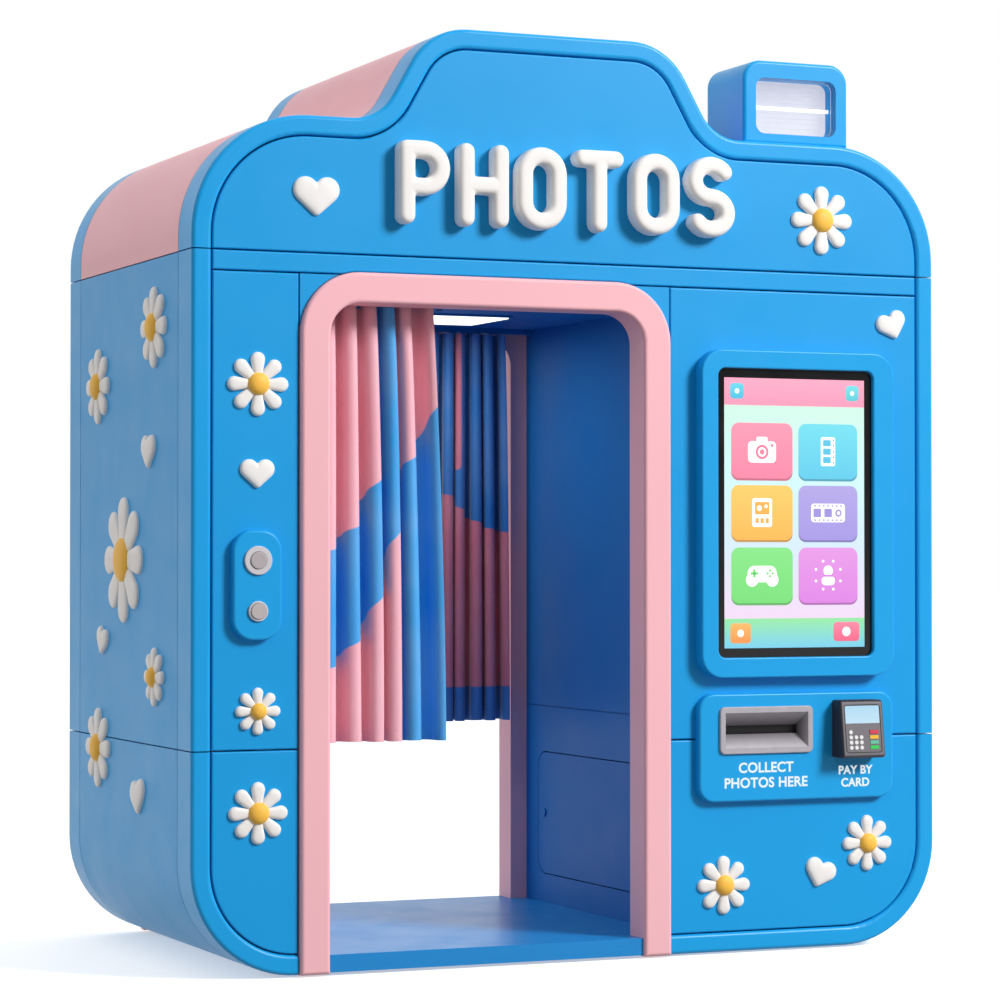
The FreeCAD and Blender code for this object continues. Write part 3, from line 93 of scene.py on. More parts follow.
class Graph:
    """One material, or the sky, while its nodes are being wired."""

    def __init__(self, name: str, sky: bool = False) -> None:
        """Start without nodes.

        Args:
            name: The material's or the sky's name.
            sky: Whether it is a sky.
        """
        self.owner = (bpy.data.worlds if sky else bpy.data.materials).new(name)
        self.owner.use_nodes = True
        self.tree = self.owner.node_tree
        self.tree.nodes.clear()

    def feed(self, socket: bpy.types.NodeSocket, value: object) -> None:
        """Link a socket, or set its value.

        Args:
            socket: The input to fill.
            value: Another node's output, or a plain value.
        """
        if isinstance(value, bpy.types.NodeSocket):
            self.tree.links.new(value, socket)
        else:
            socket.default_value = value

    def add(self, kind: str, settings: dict[str, object] | None = None,
            **inputs: object) -> bpy.types.Node:
        """Add a node.

        Args:
            kind: The node's type, without its ShaderNode prefix.
            settings: Properties of the node.
            **inputs: Values or links for its inputs, with underscores for spaces.

        Returns:
            The new node.
        """
        node = self.tree.nodes.new("ShaderNode" + kind)
        for key, value in (settings or {}).items():
            setattr(node, key, value)
        for key, value in inputs.items():
            self.feed(node.inputs[key.replace("_", " ")], value)
        return node

    def spot(self) -> bpy.types.NodeSocket:
        """Place on the piece, in metres."""
        return self.add("TexCoord").outputs["Object"]

    def along(self, axis: int) -> bpy.types.NodeSocket:
        """Place on the piece along one axis, 0 to 2, in metres."""
        return self.add("SeparateXYZ", None, Vector=self.spot()).outputs[axis]

    def noise(self, scale: float, detail: float = 2.0) -> bpy.types.NodeSocket:
        """Soft random pattern.

        Args:
            scale: Blotches to the metre.
            detail: How many finer layers it has.

        Returns:
            The pattern, from 0 to 1.
        """
        return self.add("TexNoise", Vector=self.spot(), Scale=scale, Detail=detail).outputs[0]

    def mix(self, share: object, first: object, second: object,
            blend: str = "MIX") -> bpy.types.NodeSocket:
        """Mix two colours.

        Args:
            share: How much of the second colour shows.
            first: The colour at 0.
            second: The colour at 1.
            blend: Blender's name of the way they mix.

        Returns:
            The mixed colour.
        """
        node = self.add("Mix", {"data_type": "RGBA", "blend_type": blend})
        self.feed(node.inputs[0], share)
        self.feed(node.inputs[6], first)
        self.feed(node.inputs[7], second)
        return node.outputs[2]

    def sum(self, kind: str, first: object, second: object) -> bpy.types.NodeSocket:
        """Arithmetic on two numbers.

        Args:
            kind: The operation, as Blender names it.
            first: The first number.
            second: The second number.

        Returns:
            The result.
        """
        node = self.add("Math", {"operation": kind})
        self.feed(node.inputs[0], first)
        self.feed(node.inputs[1], second)
        return node.outputs[0]

    def ramp(self, value: object, low: float, high: float, start: float = 0.0,
             end: float = 1.0) -> bpy.types.NodeSocket:
        """Stretch a number from one range to another, held at the ends.

        Args:
            value: The number.
            low: Where the first range starts.
            high: Where the first range ends.
            start: Result at low.
            end: Result at high.

        Returns:
            The stretched number.
        """
        node = self.add("MapRange", None, Value=value, From_Min=low, From_Max=high, To_Min=start,
                        To_Max=end)
        return node.outputs[0]

    def mottle(self, tint: object, scale: float, most: float,
               towards: Rgba = BLACK) -> bpy.types.NodeSocket:
        """Let blotches of another colour show through.

        Args:
            tint: The main colour.
            scale: Blotches to the metre.
            most: Largest share of the other colour.
            towards: The other colour.

        Returns:
            The mottled colour.
        """
        return self.mix(self.ramp(self.noise(scale), 0.3, 0.7, 0.0, most), tint, towards)

    def bump(self, height: object, strength: float, distance: float,
             normal: object = None) -> bpy.types.NodeSocket:
        """Relief from a height pattern.

        Args:
            height: The pattern.
            strength: Share of the relief that shows.
            distance: Depth of the relief in metres.
            normal: Relief that this one is added to.

        Returns:
            The bent normal.
        """
        node = self.add("Bump", None, Height=height, Strength=strength, Distance=distance)
        if normal is not None:
            self.feed(node.inputs["Normal"], normal)
        return node.outputs[0]

    def surface(self, **inputs: object) -> bpy.types.Material:
        """Close the material with one shader.

        Args:
            **inputs: The shader's inputs, with underscores for spaces.

        Returns:
            The finished material.
        """
        shader = self.add("BsdfPrincipled", None, **inputs)
        self.add("OutputMaterial", None, Surface=shader.outputs[0])
        return self.owner


# ---------------------------------------------------------------- finishes

@dataclass(frozen=True)
class Finish:
    """A surface finish that is made once and shared."""

    name: str

    def make(self) -> bpy.types.Material:
        """Build the material's nodes."""
        raise NotImplementedError

    def material(self) -> bpy.types.Material:
        """The material, built the first time that it is asked for."""
        return bpy.data.materials.get(self.name) or self.make()


@dataclass(frozen=True)
class Lacquer(Finish):
    """Satin paint or moulded plastic with a fine orange-peel surface."""

    colour: str
    roughness: float = 0.40
    peel: float = 0.10
    grain: float = 240.0
    tone: float = 0.05
    specular: float = 0.28
    coat: float = 0.0
    metal: float = 0.0

    def make(self) -> bpy.types.Material:
        """Tone that wanders a little, uneven gloss and a fine peel."""
        graph = Graph(self.name)
        tint = graph.mix(graph.noise(1.6, 3.0), web(self.colour, 1 - self.tone),
                         web(self.colour, 1 + self.tone))
        fine = graph.noise(self.grain)
        gloss = graph.sum("ADD", graph.ramp(graph.noise(9.0, 4.0), 0.3, 0.7, -0.04, 0.04),
                          self.roughness)
        return graph.surface(
            Base_Color=tint, Roughness=gloss, Metallic=self.metal,
            Specular_IOR_Level=self.specular, Coat_Weight=self.coat, Coat_Roughness=0.12,
            Normal=graph.bump(fine, self.peel, 0.4 * MM))


@dataclass(frozen=True)
class Brushed(Finish):
    """Metal brushed along one direction."""

    colour: str
    roughness: float = 0.32
    stretch: Triple = (6.0, 6.0, 900.0)

    def make(self) -> bpy.types.Material:
        """Fine scratches that run along the metal."""
        graph = Graph(self.name)
        place = graph.add("Mapping", None, Vector=graph.spot(), Scale=self.stretch).outputs[0]
        lines = graph.add("TexNoise", None, Vector=place, Scale=1.0, Detail=3.0).outputs[0]
        return graph.surface(
            Base_Color=graph.mix(lines, web(self.colour, 0.88), web(self.colour, 1.05)),
            Metallic=1.0, Roughness=graph.ramp(lines, 0.2, 0.8, self.roughness - 0.08,
                                               self.roughness + 0.1),
            Normal=graph.bump(lines, 0.12, 0.1 * MM))


@dataclass(frozen=True)
class Foam(Finish):
    """Soft moulded foam or vinyl, matt with a faint glow of its own body."""

    colour: str
    roughness: float = 0.55
    dimple: float = 0.0
    inner_glow: float = 0.06

    def make(self) -> bpy.types.Material:
        """Small pores, and dimples where the foam is stamped."""
        graph = Graph(self.name)
        tint = graph.mix(graph.noise(14.0, 4.0), web(self.colour, 0.96), web(self.colour, 1.03))
        relief = graph.bump(graph.noise(420.0), 0.12, 0.3 * MM)
        if self.dimple:
            cells = graph.add("TexVoronoi", None, Vector=graph.spot(), Scale=210.0)
            relief = graph.bump(cells.outputs["Distance"], self.dimple, 1.0 * MM, relief)
        return graph.surface(
            Base_Color=tint, Roughness=graph.ramp(graph.noise(30.0), 0.2, 0.8,
                                                  self.roughness - 0.05, self.roughness + 0.05),
            Subsurface_Weight=self.inner_glow, Subsurface_Radius=(0.012, 0.009, 0.007),
            Subsurface_Scale=1.0, Specular_IOR_Level=0.4, Normal=relief)


@dataclass(frozen=True)
class Woven(Finish):
    """Two-colour printed curtain cloth. The print's edge is where the dye reading is zero."""

    ground: str
    print_colour: str
    thread: float = 1.5 * MM
    edge: float = 1.6 * MM
    ragged: float = 0.8 * MM
    hem: float = 24 * MM
    stitch: float = 1.1 * MM
    fade: Rgba = (0.9, 0.9, 0.9, 1.0)

    def make(self) -> bpy.types.Material:
        """Plain weave, a soft print edge, stitching along the hem and a sheen."""
        graph = Graph(self.name)
        dye = graph.add("Attribute", {"attribute_name": "dye"}).outputs["Fac"]
        cloth = graph.add("UVMap", {"uv_map": "cloth"}).outputs[0]
        axes = graph.add("SeparateXYZ", None, Vector=cloth)
        turns = 2 * math.pi / self.thread
        warp = graph.sum("SINE", graph.sum("MULTIPLY", axes.outputs[0], turns), 0.0)
        weft = graph.sum("SINE", graph.sum("MULTIPLY", axes.outputs[1], turns), 0.0)
        weave = graph.sum("MULTIPLY", warp, weft)
        fuzz = graph.noise(60.0, 4.0)
        ragged = graph.sum("ADD", dye, graph.ramp(fuzz, 0.0, 1.0, -self.ragged, self.ragged))
        printed = graph.ramp(ragged, -self.edge, self.edge)
        shade = graph.ramp(weave, -1.0, 1.0, 0.93, 1.05)
        tint = graph.mix(printed, web(self.ground), web(self.print_colour))
        faded = graph.mottle(tint, 5.0, 0.10, self.fade)
        grey = graph.add("CombineXYZ", None, X=shade, Y=shade, Z=shade).outputs[0]
        seam = graph.sum("COMPARE", axes.outputs[1], self.hem)
        seam.node.inputs[2].default_value = self.stitch
        relief = graph.bump(weave, 0.25, 0.25 * MM)
        relief = graph.bump(seam, 0.5, -0.8 * MM, relief)
        return graph.surface(
            Base_Color=graph.mix(1.0, faded, grey, "MULTIPLY"), Roughness=0.6,
            Sheen_Weight=0.5, Sheen_Roughness=0.35, Specular_IOR_Level=0.5, Normal=relief)


@dataclass(frozen=True)
class Glow(Finish):
    """A lit surface that fades from one colour at its foot to another at its head."""

    foot: str
    head: str
    low: float = 0.0
    high: float = 1.0
    strength: float = 0.85
    roughness: float = 0.3

    def make(self) -> bpy.types.Material:
        """A vertical fade with a faint grid of dots."""
        graph = Graph(self.name)
        fade = graph.ramp(graph.along(2), self.low, self.high)
        tint = graph.mix(fade, web(self.foot), web(self.head))
        lively = graph.mix(graph.noise(700.0, 0.0), tint, graph.mix(0.05, tint, WHITE))
        return graph.surface(
            Base_Color=graph.mix(0.75, tint, BLACK), Emission_Color=lively,
            Emission_Strength=self.strength, Roughness=self.roughness)


@dataclass(frozen=True)
class ClearGlass(Finish):
    """Clear or tinted cover glass."""

    colour: str
    roughness: float = 0.06

    def make(self) -> bpy.types.Material:
        """Glass with faint smears."""
        graph = Graph(self.name)
        smear = graph.ramp(graph.noise(12.0, 5.0), 0.4, 0.8, self.roughness,
                           self.roughness + 0.08)
        return graph.surface(Base_Color=web(self.colour), Transmission_Weight=1.0, IOR=1.45,
                             Roughness=smear)


@dataclass(frozen=True)
class Shaded(Finish):
    """Plastic with painted shade: darker the deeper it lies behind the front, and black past the
    slot.
    """

    face: str
    deep: str
    front: float
    back: float
    slot: float
    slot_fade: float = 6 * MM
    slot_shadow_colour: str = "030306"
    roughness: float = 0.42

    def make(self) -> bpy.types.Material:
        """Painted shade that darkens from the rim inwards, a painted black shadow past the slot,
        and a fine grain.
        """
        graph = Graph(self.name)
        depth = graph.along(1)
        # painted shade: darker the deeper the surface lies behind the front
        fade = graph.ramp(depth, self.front, self.back)
        tint = graph.mix(fade, web(self.face), web(self.deep))
        # painted shadow: black past the slot, where the back wall lies in shade
        dark = graph.mix(graph.ramp(depth, self.slot - self.slot_fade, self.slot), tint,
                         web(self.slot_shadow_colour))
        return graph.surface(Base_Color=graph.mottle(dark, 40.0, 0.08), Roughness=self.roughness,
                             Specular_IOR_Level=0.2,
                             Normal=graph.bump(graph.noise(300.0), 0.15, 0.3 * MM))


@dataclass(frozen=True)
class PaintedLightFacePlate(Finish):
    """Moulded case with painted light: its face, turned toward the light, is painted lighter than
    its sides, which are painted as in shade.
    """

    sides: str
    face: str
    outward: Triple
    turned_away: float = 0.90
    facing: float = 0.99
    roughness: float = 0.5

    def make(self) -> bpy.types.Material:
        """Painted light: the lit face's colour where the surface looks its way, the shaded sides'
        colour elsewhere, with a fine grain.
        """
        graph = Graph(self.name)
        look = graph.add("NewGeometry").outputs["True Normal"]
        turned = graph.add("VectorMath", {"operation": "DOT_PRODUCT"})
        graph.feed(turned.inputs[0], look)
        graph.feed(turned.inputs[1], self.outward)
        # painted light: the lighter colour's share grows as the surface turns to look the outward
        # way
        share = graph.ramp(turned.outputs["Value"], self.turned_away, self.facing)
        tint = graph.mix(share, web(self.sides), web(self.face))
        return graph.surface(Base_Color=graph.mottle(tint, 60.0, 0.06), Roughness=self.roughness,
                             Specular_IOR_Level=0.35,
                             Normal=graph.bump(graph.noise(500.0), 0.2, 0.3 * MM))


BLUE_PANEL = Lacquer("blue_panel_paint", "0C9BDE")
BLUE_RIM = Lacquer("blue_rim_paint", "109FE2", roughness=0.36)
BLUE_LINING = Lacquer("blue_lining_paint", "0C70B8", roughness=0.5, specular=0.16)
BLUE_FLOOR = Lacquer("blue_floor_covering", "1C86CC", roughness=0.34, peel=0.3, grain=420.0)
PINK_TRIM = Lacquer("pink_trim_paint", "F7BBC3", roughness=0.45, specular=0.14)
WHITE_FOAM = Foam("white_foam", "F1EDEA")
YELLOW_FOAM = Foam("yellow_foam", "FBC048", dimple=0.25)
FRAME_STEEL = Lacquer("frame_steel_paint", "6F777F", roughness=0.5, metal=0.6)
HINGE_STEEL = Brushed("hinge_leaf_steel", "B9BCC2", roughness=0.28)
GLIDER_PLASTIC = Lacquer("curtain_glider_plastic", "1566A6", roughness=0.5)
BLACK_CASE = Lacquer("black_equipment_case", "17191C", roughness=0.55, peel=0.3)
TRAY_GREY = Lacquer("button_grey_plastic", "CECBD0", roughness=0.45)
START_CAP = Lacquer("start_cap_plastic", "B2AAAC", roughness=0.5, peel=0.2)
CALL_CAP = Lacquer("call_cap_plastic", "BBB2B2", roughness=0.5, peel=0.2)
NUMBER_KEYS = Lacquer("pale_key_rubber", "E4E2E2", roughness=0.5)
RED_KEY = Lacquer("red_key_plastic", "D2394F", roughness=0.4)
YELLOW_KEY = Lacquer("yellow_key_plastic", "F6B62E", roughness=0.4)
TEAL_KEY = Lacquer("teal_key_plastic", "63B79A", roughness=0.4)
GREEN_KEY = Lacquer("green_key_plastic", "35C45A", roughness=0.4)
SCREEN_GLASS = Lacquer("screen_cover_glass", "08090C", roughness=0.2, peel=0.0, coat=0.1)
LENS_GLASS = Lacquer("camera_lens_glass", "0A0E18", roughness=0.08, peel=0.0, coat=1.0)
FLASH_GLASS = ClearGlass("flash_cover_glass", "F4F8FF")
# painted light: the flash reflector glows though it is no lamp, lighter at its foot and darker at
# its head
REFLECTOR_PAINTED_GLOW = Glow("flash_reflector_painted_glow", "F1EFF3", "D2D1DB", low=2.07, high=2.2,
                 strength=0.86, roughness=0.5)
DIFFUSER = Glow("ceiling_diffuser", "FFFFFF", "FFFFFF", strength=1.6, roughness=0.5)
FLASH_TUBE = Glow("flash_tube_glow", "F4F2F6", "FFFFFF", strength=1.1)
READER_SCREEN = Glow("reader_screen_glow", "BFE0F2", "A9D4EE", low=0.57, high=0.62,
                     strength=0.75)
# painted light: the caption ink glows though it is no lamp, so it stays bright in the reader's
# shadow
LABEL_INK_PAINTED_GLOW = Glow("label_ink_painted_glow", "E6F6F9", "F2FBFD", strength=0.7, roughness=0.5)
PICTURE_WHITE = Glow("picture_white", "F4F6F8", "FFFFFF", strength=0.95)

SLOT_FINISHES: dict[str, Finish] = {
    "blue_panel": BLUE_PANEL, "blue_rim": BLUE_RIM, "blue_lining": BLUE_LINING,
    "floor_covering": BLUE_FLOOR, "pink_trim": PINK_TRIM, "white_letter": WHITE_FOAM,
    "white_heart": WHITE_FOAM, "yellow_centre": YELLOW_FOAM, "frame_steel": FRAME_STEEL,
    "curtain_track": BLUE_LINING, "glider_plastic": GLIDER_PLASTIC,
    "hinge_steel": HINGE_STEEL, "light_metal": BLUE_LINING, "light_diffuser": DIFFUSER,
    "screen_glass": SCREEN_GLASS, "black_equipment": BLACK_CASE, "tray_grey": TRAY_GREY,
    "reader_plastic": BLACK_CASE, "reader_screen": READER_SCREEN,
    "number_key_rubber": NUMBER_KEYS, "red_key": RED_KEY, "yellow_key": YELLOW_KEY,
    "teal_key": TEAL_KEY, "green_key": GREEN_KEY, "start_cap": START_CAP,
    "lens_glass": LENS_GLASS}


# ---------------------------------------------------------------- mesh work

class Side(Enum):
    """The four upright faces of the booth, by the way that they look."""

    FRONT = (0.0, -1.0, 0.0)
    BACK = (0.0, 1.0, 0.0)
    LEFT = (-1.0, 0.0, 0.0)
    RIGHT = (1.0, 0.0, 0.0)

    @property
    def outward(self) -> Vector:
        """The way that the face looks."""
        return Vector(self.value)


def seat(middle: Vector, outward: Vector, upward: Vector = Vector((0, 0, 1))) -> Matrix:
    """Matrix that lays (across, up, out) on a face.

    Args:
        middle: Where the local origin goes.
        outward: The way that the face looks.
        upward: The local up.

    Returns:
        The matrix, right-handed.
    """
    across = upward.cross(outward).normalized()
    columns = Matrix((across, upward.normalized(), outward.normalized())).transposed()
    return Matrix.Translation(middle) @ columns.to_4x4()


def arc(middle: Point, radius: float, start: float, end: float, steps: int) -> list[Point]:
    """Points along an arc.

    Args:
        middle: The arc's centre.
        radius: Its radius.
        start: First angle in degrees.
        end: Last angle in degrees.
        steps: Number of chords.

    Returns:
        The points, both ends included.
    """
    return [(middle[0] + radius * math.cos(math.radians(start + (end - start) * k / steps)),
             middle[1] + radius * math.sin(math.radians(start + (end - start) * k / steps)))
            for k in range(steps + 1)]


def disc(middle: Point, radius: float, steps: int = 32) -> list[Point]:
    """Points round a circle."""
    return arc(middle, radius, 0, 360, steps)[:-1]


def block(middle: Point, width: float, height: float, radius: float,
          steps: int = 6) -> list[Point]:
    """Points round a rectangle with round corners.

    Args:
        middle: Its centre.
        width: Its width.
        height: Its height.
        radius: Corner radius.
        steps: Chords in each corner.

    Returns:
        The points, anticlockwise.
    """
    x, z = width / 2 - radius, height / 2 - radius
    points: list[Point] = []
    for quarter, (across, up) in enumerate(((1, 1), (-1, 1), (-1, -1), (1, -1))):
        points += arc((middle[0] + across * x, middle[1] + up * z), radius, 90 * quarter,
                      90 * quarter + 90, steps)
    return points


def belt(low: int, high: int, count: int) -> list[tuple[int, ...]]:
    """Faces between two closed rows of points.

    Args:
        low: Number of the first row's first point.
        high: Number of the second row's first point.
        count: Points in each row.

    Returns:
        One four-sided face for each pair of neighbours.
    """
    return [(low + k, low + (k + 1) % count, high + (k + 1) % count, high + k)
            for k in range(count)]


class Piece:
    """Mesh of one piece while it is being built. Each face keeps its finish."""

    def __init__(self, name: str) -> None:
        """Start an empty piece.

        Args:
            name: The piece's name.
        """
        self.name = name
        self.points: list[Vector] = []
        self.faces: list[tuple[int, ...]] = []
        self.marks: list[int] = []
        self.finishes: list[Finish] = []

    def add(self, points: Sequence[Vector], faces: Sequence[tuple[int, ...]],
            finish: Finish) -> None:
        """Add faces.

        Args:
            points: Their corners.
            faces: Numbers of the corners of each face.
            finish: What they are finished in.
        """
        if finish not in self.finishes:
            self.finishes.append(finish)
        start = len(self.points)
        self.points += list(points)
        self.faces += [tuple(start + k for k in face) for face in faces]
        self.marks += [self.finishes.index(finish)] * len(faces)

    def prism(self, outline: Sequence[Point], base: Matrix, low: float, high: float,
              finish: Finish) -> None:
        """Add a straight-sided solid.

        Args:
            outline: Its outline, (across, up), anticlockwise.
            base: Where the outline lies.
            low: Where it starts along the way out.
            high: Where it ends.
            finish: Its finish.
        """
        count = len(outline)
        points = [base @ Vector((a, b, level)) for level in (low, high) for a, b in outline]
        faces = [tuple(range(count, 2 * count)), tuple(reversed(range(count)))]
        self.add(points, faces + belt(0, count, count), finish)

    def ring(self, outer: Sequence[Point], inner: Sequence[Point], base: Matrix, low: float,
             high: float, finish: Finish) -> None:
        """Add a flat frame between two outlines with as many points.

        Args:
            outer: Its outside, (across, up), anticlockwise.
            inner: Its inside.
            base: Where it lies.
            low: Where it starts along the way out.
            high: Where it ends.
            finish: Its finish.
        """
        count = len(outer)
        loops = ((outer, low), (outer, high), (inner, high), (inner, low))
        points = [base @ Vector((a, b, level)) for outline, level in loops for a, b in outline]
        faces = [face for loop in range(4)
                 for face in belt(loop * count, (loop + 1) % 4 * count, count)]
        self.add(points, faces, finish)

    def pad(self, outline: Sequence[Point], base: Matrix, thickness: float, finish: Finish,
            middle: Point = (0.0, 0.0), power: float = 3.0, rings: int = 7) -> None:
        """Add a puffy pad with a flat back.

        Args:
            outline: Its outline, (across, up), anticlockwise.
            base: Where the outline lies.
            thickness: Height at its middle.
            finish: Its finish.
            middle: Point that its rings shrink to.
            power: Flatness of its top, 2 for a round dome.
            rings: Rings between edge and middle.
        """
        count = len(outline)
        points, faces = [], [tuple(reversed(range(count)))]
        for ring in range(rings):
            share = math.cos(ring / rings * math.pi / 2) if ring else 1.0
            height = thickness * (1 - share ** power) ** (1 / power)
            points += [base @ Vector((middle[0] + (a - middle[0]) * share,
                                      middle[1] + (b - middle[1]) * share, height))
                       for a, b in outline]
            if ring:
                faces += belt((ring - 1) * count, ring * count, count)
        points.append(base @ Vector((*middle, thickness)))
        last = (rings - 1) * count
        faces += [(last + k, last + (k + 1) % count, rings * count) for k in range(count)]
        self.add(points, faces, finish)

    def build(self, body: str, slot: str, smooth: float = 40.0) -> bpy.types.Object:
        """Make the object, and hang it on its body.

        Args:
            body: The body that it rides on.
            slot: Not used.
            smooth: Sharpest edge, in degrees, that is still shaded smooth.

        Returns:
            The new object.
        """
        mesh = bpy.data.meshes.new(self.name)
        mesh.from_pydata([tuple(p) for p in self.points], [], self.faces)
        for finish in self.finishes:
            mesh.materials.append(finish.material())
        mesh.polygons.foreach_set("material_index", self.marks)
        return settle(mesh, self.name, body, smooth)


def placed(name: str, data: bpy.types.ID) -> bpy.types.Object:
    """New object in the scene.

    Args:
        name: Its name.
        data: Its mesh, curve, light or camera.

    Returns:
        The object.
    """
    item = bpy.data.objects.new(name, data)
    bpy.context.scene.collection.objects.link(item)
    return item


def settle(mesh: bpy.types.Mesh, name: str, body: str,
           smooth: float = 40.0) -> bpy.types.Object:
    """Put a mesh into the scene as one piece.

    Args:
        mesh: The mesh.
        name: The piece's name.
        body: The body that it rides on, or nothing for a piece that rides on none, such as one
            that is melted later.
        smooth: Sharpest edge, in degrees, that is still shaded smooth.

    Returns:
        The new object.
    """
    work = bmesh.new()
    work.from_mesh(mesh)
    bmesh.ops.remove_doubles(work, verts=work.verts, dist=1e-6)
    bmesh.ops.recalc_face_normals(work, faces=work.faces)
    work.to_mesh(mesh)
    work.free()
    mesh.shade_smooth()
    mesh.set_sharp_from_angle(angle=math.radians(smooth))
    item = placed(name, mesh)
    if body:
        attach(item, body)
    LOG.info("%s: %d faces", name, len(mesh.polygons))
    return item


def applied(item: bpy.types.Object) -> bpy.types.Mesh:
    """Mesh of an object with its modifiers applied; the object is dropped."""
    graph = bpy.context.evaluated_depsgraph_get()
    mesh = bpy.data.meshes.new_from_object(item.evaluated_get(graph))
    bpy.data.objects.remove(item)
    return mesh


def islands(node: str) -> list[np.ndarray]:
    """Points of each separate solid in a CAD node.

    Args:
        node: The node's name.

    Returns:
        One array of points for each solid.
    """
    work = bmesh.new()
    work.from_mesh(frame["nodes"][node].data)
    bmesh.ops.remove_doubles(work, verts=work.verts, dist=1e-5)
    seen: set[int] = set()
    found = []
    for first in work.verts:
        if first.index in seen:
            continue
        seen.add(first.index)
        queue, group = [first], []
        while queue:
            point = queue.pop()
            group.append(tuple(point.co))
            for edge in point.link_edges:
                other = edge.other_vert(point)
                if other.index not in seen:
                    seen.add(other.index)
                    queue.append(other)
        found.append(np.array(group))
    work.free()
    return found


def widest_front(node: str) -> tuple[Vector, Vector, float, float]:
    """Largest flat face of a CAD node that looks forward.

    Args:
        node: The node's name.

    Returns:
        Its middle, the way that it looks, its width and its height.
    """
    mesh = frame["nodes"][node].data
    forward, fineness = -0.5, 200
    looks = [tuple(round(part * fineness) for part in face.normal) for face in mesh.polygons]
    areas: dict[tuple[int, ...], float] = {}
    for look, face in zip(looks, mesh.polygons):
        if face.normal.y < forward:
            areas[look] = areas.get(look, 0.0) + face.area
    widest = max(areas, key=areas.get)
    flat = [face for look, face in zip(looks, mesh.polygons) if look == widest]
    outward = flat[0].normal.normalized()
    upward = (Vector((0, 0, 1)) - outward * outward.z).normalized()
    base = seat(Vector((0, 0, 0)), outward, upward)
    places = np.array([base.inverted() @ mesh.vertices[k].co for face in flat
                       for k in face.vertices])
    low, high = places.min(axis=0), places.max(axis=0)
    return (base @ Vector((low + high) / 2), outward, float(high[0] - low[0]),
            float(high[1] - low[1]))


def facing(points: np.ndarray) -> Side:
    """Face of the booth that a thin decoration lies on."""
    spread = points.max(axis=0) - points.min(axis=0)
    middle = (points.max(axis=0) + points.min(axis=0)) / 2
    if spread[0] < spread[1]:
        return Side.RIGHT if middle[0] > 0 else Side.LEFT
    return Side.BACK if middle[1] > 0 else Side.FRONT


# ---------------------------------------------------------------- daisies and hearts

@dataclass
class Daisies:
    """Foam daisies: eight petals round a domed centre. Shares are of the daisy's width."""

    petals: int = 8
    centre_share: float = 0.18
    tip_share: float = 0.114
    root_share: float = 0.068
    root_place: float = 0.13
    petal_thickness: float = 11 * MM
    petal_peak: float = 0.34
    petal_flatness: float = 3.3
    centre_thickness: float = 13 * MM
    centre_foot: float = 0.35
    centre_rise: float = 0.6
    centre_flatness: float = 2.4

    def petal(self, size: float) -> list[Point]:
        """Outline of one petal that points straight up.

        Args:
            size: Width of the whole daisy.

        Returns:
            The outline, from the flower's middle outwards.
        """
        tip, root = size * self.tip_share, size * self.root_share
        far, near = size / 2 - tip, size * self.root_place
        lean = math.degrees(math.asin((tip - root) / (far - near)))
        return (arc((0.0, far), tip, -lean, 180 + lean, 18)
                + arc((0.0, near), root, 180 + lean, 360 - lean, 8))

    def build(self) -> None:
        """Build all petals as one piece, and all centres as another."""
        petals, centres = Piece("daisy_petal_pads"), Piece("daisy_centre_domes")
        for points in islands("daisy_centres"):
            side = facing(points)
            low, high = points.min(axis=0), points.max(axis=0)
            radius = (high[2] - low[2]) / 2
            size = radius / self.centre_share
            middle = Vector((low + high) / 2)
            depth = max(abs((Vector(p) - middle).dot(side.outward)) for p in points)
            foot = middle - side.outward * (depth + self.petal_thickness)
            for number in range(self.petals):
                angle = 2 * math.pi * number / self.petals
                upward = Matrix.Rotation(angle, 3, side.outward) @ Vector((0, 0, 1))
                base = seat(foot, side.outward, upward)
                petals.pad(self.petal(size), base, self.petal_thickness, WHITE_FOAM,
                           (0.0, size * self.petal_peak), self.petal_flatness)
            crown = seat(foot + side.outward * self.petal_thickness * self.centre_foot,
                         side.outward)
            centres.pad(disc((0.0, 0.0), radius, 40), crown,
                        self.centre_thickness + self.petal_thickness * self.centre_rise,
                        YELLOW_FOAM, power=self.centre_flatness, rings=10)
        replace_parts(petals.build("booth", "white_letter"), "daisy_petals")
        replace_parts(centres.build("booth", "yellow_centre"), "daisy_centres")


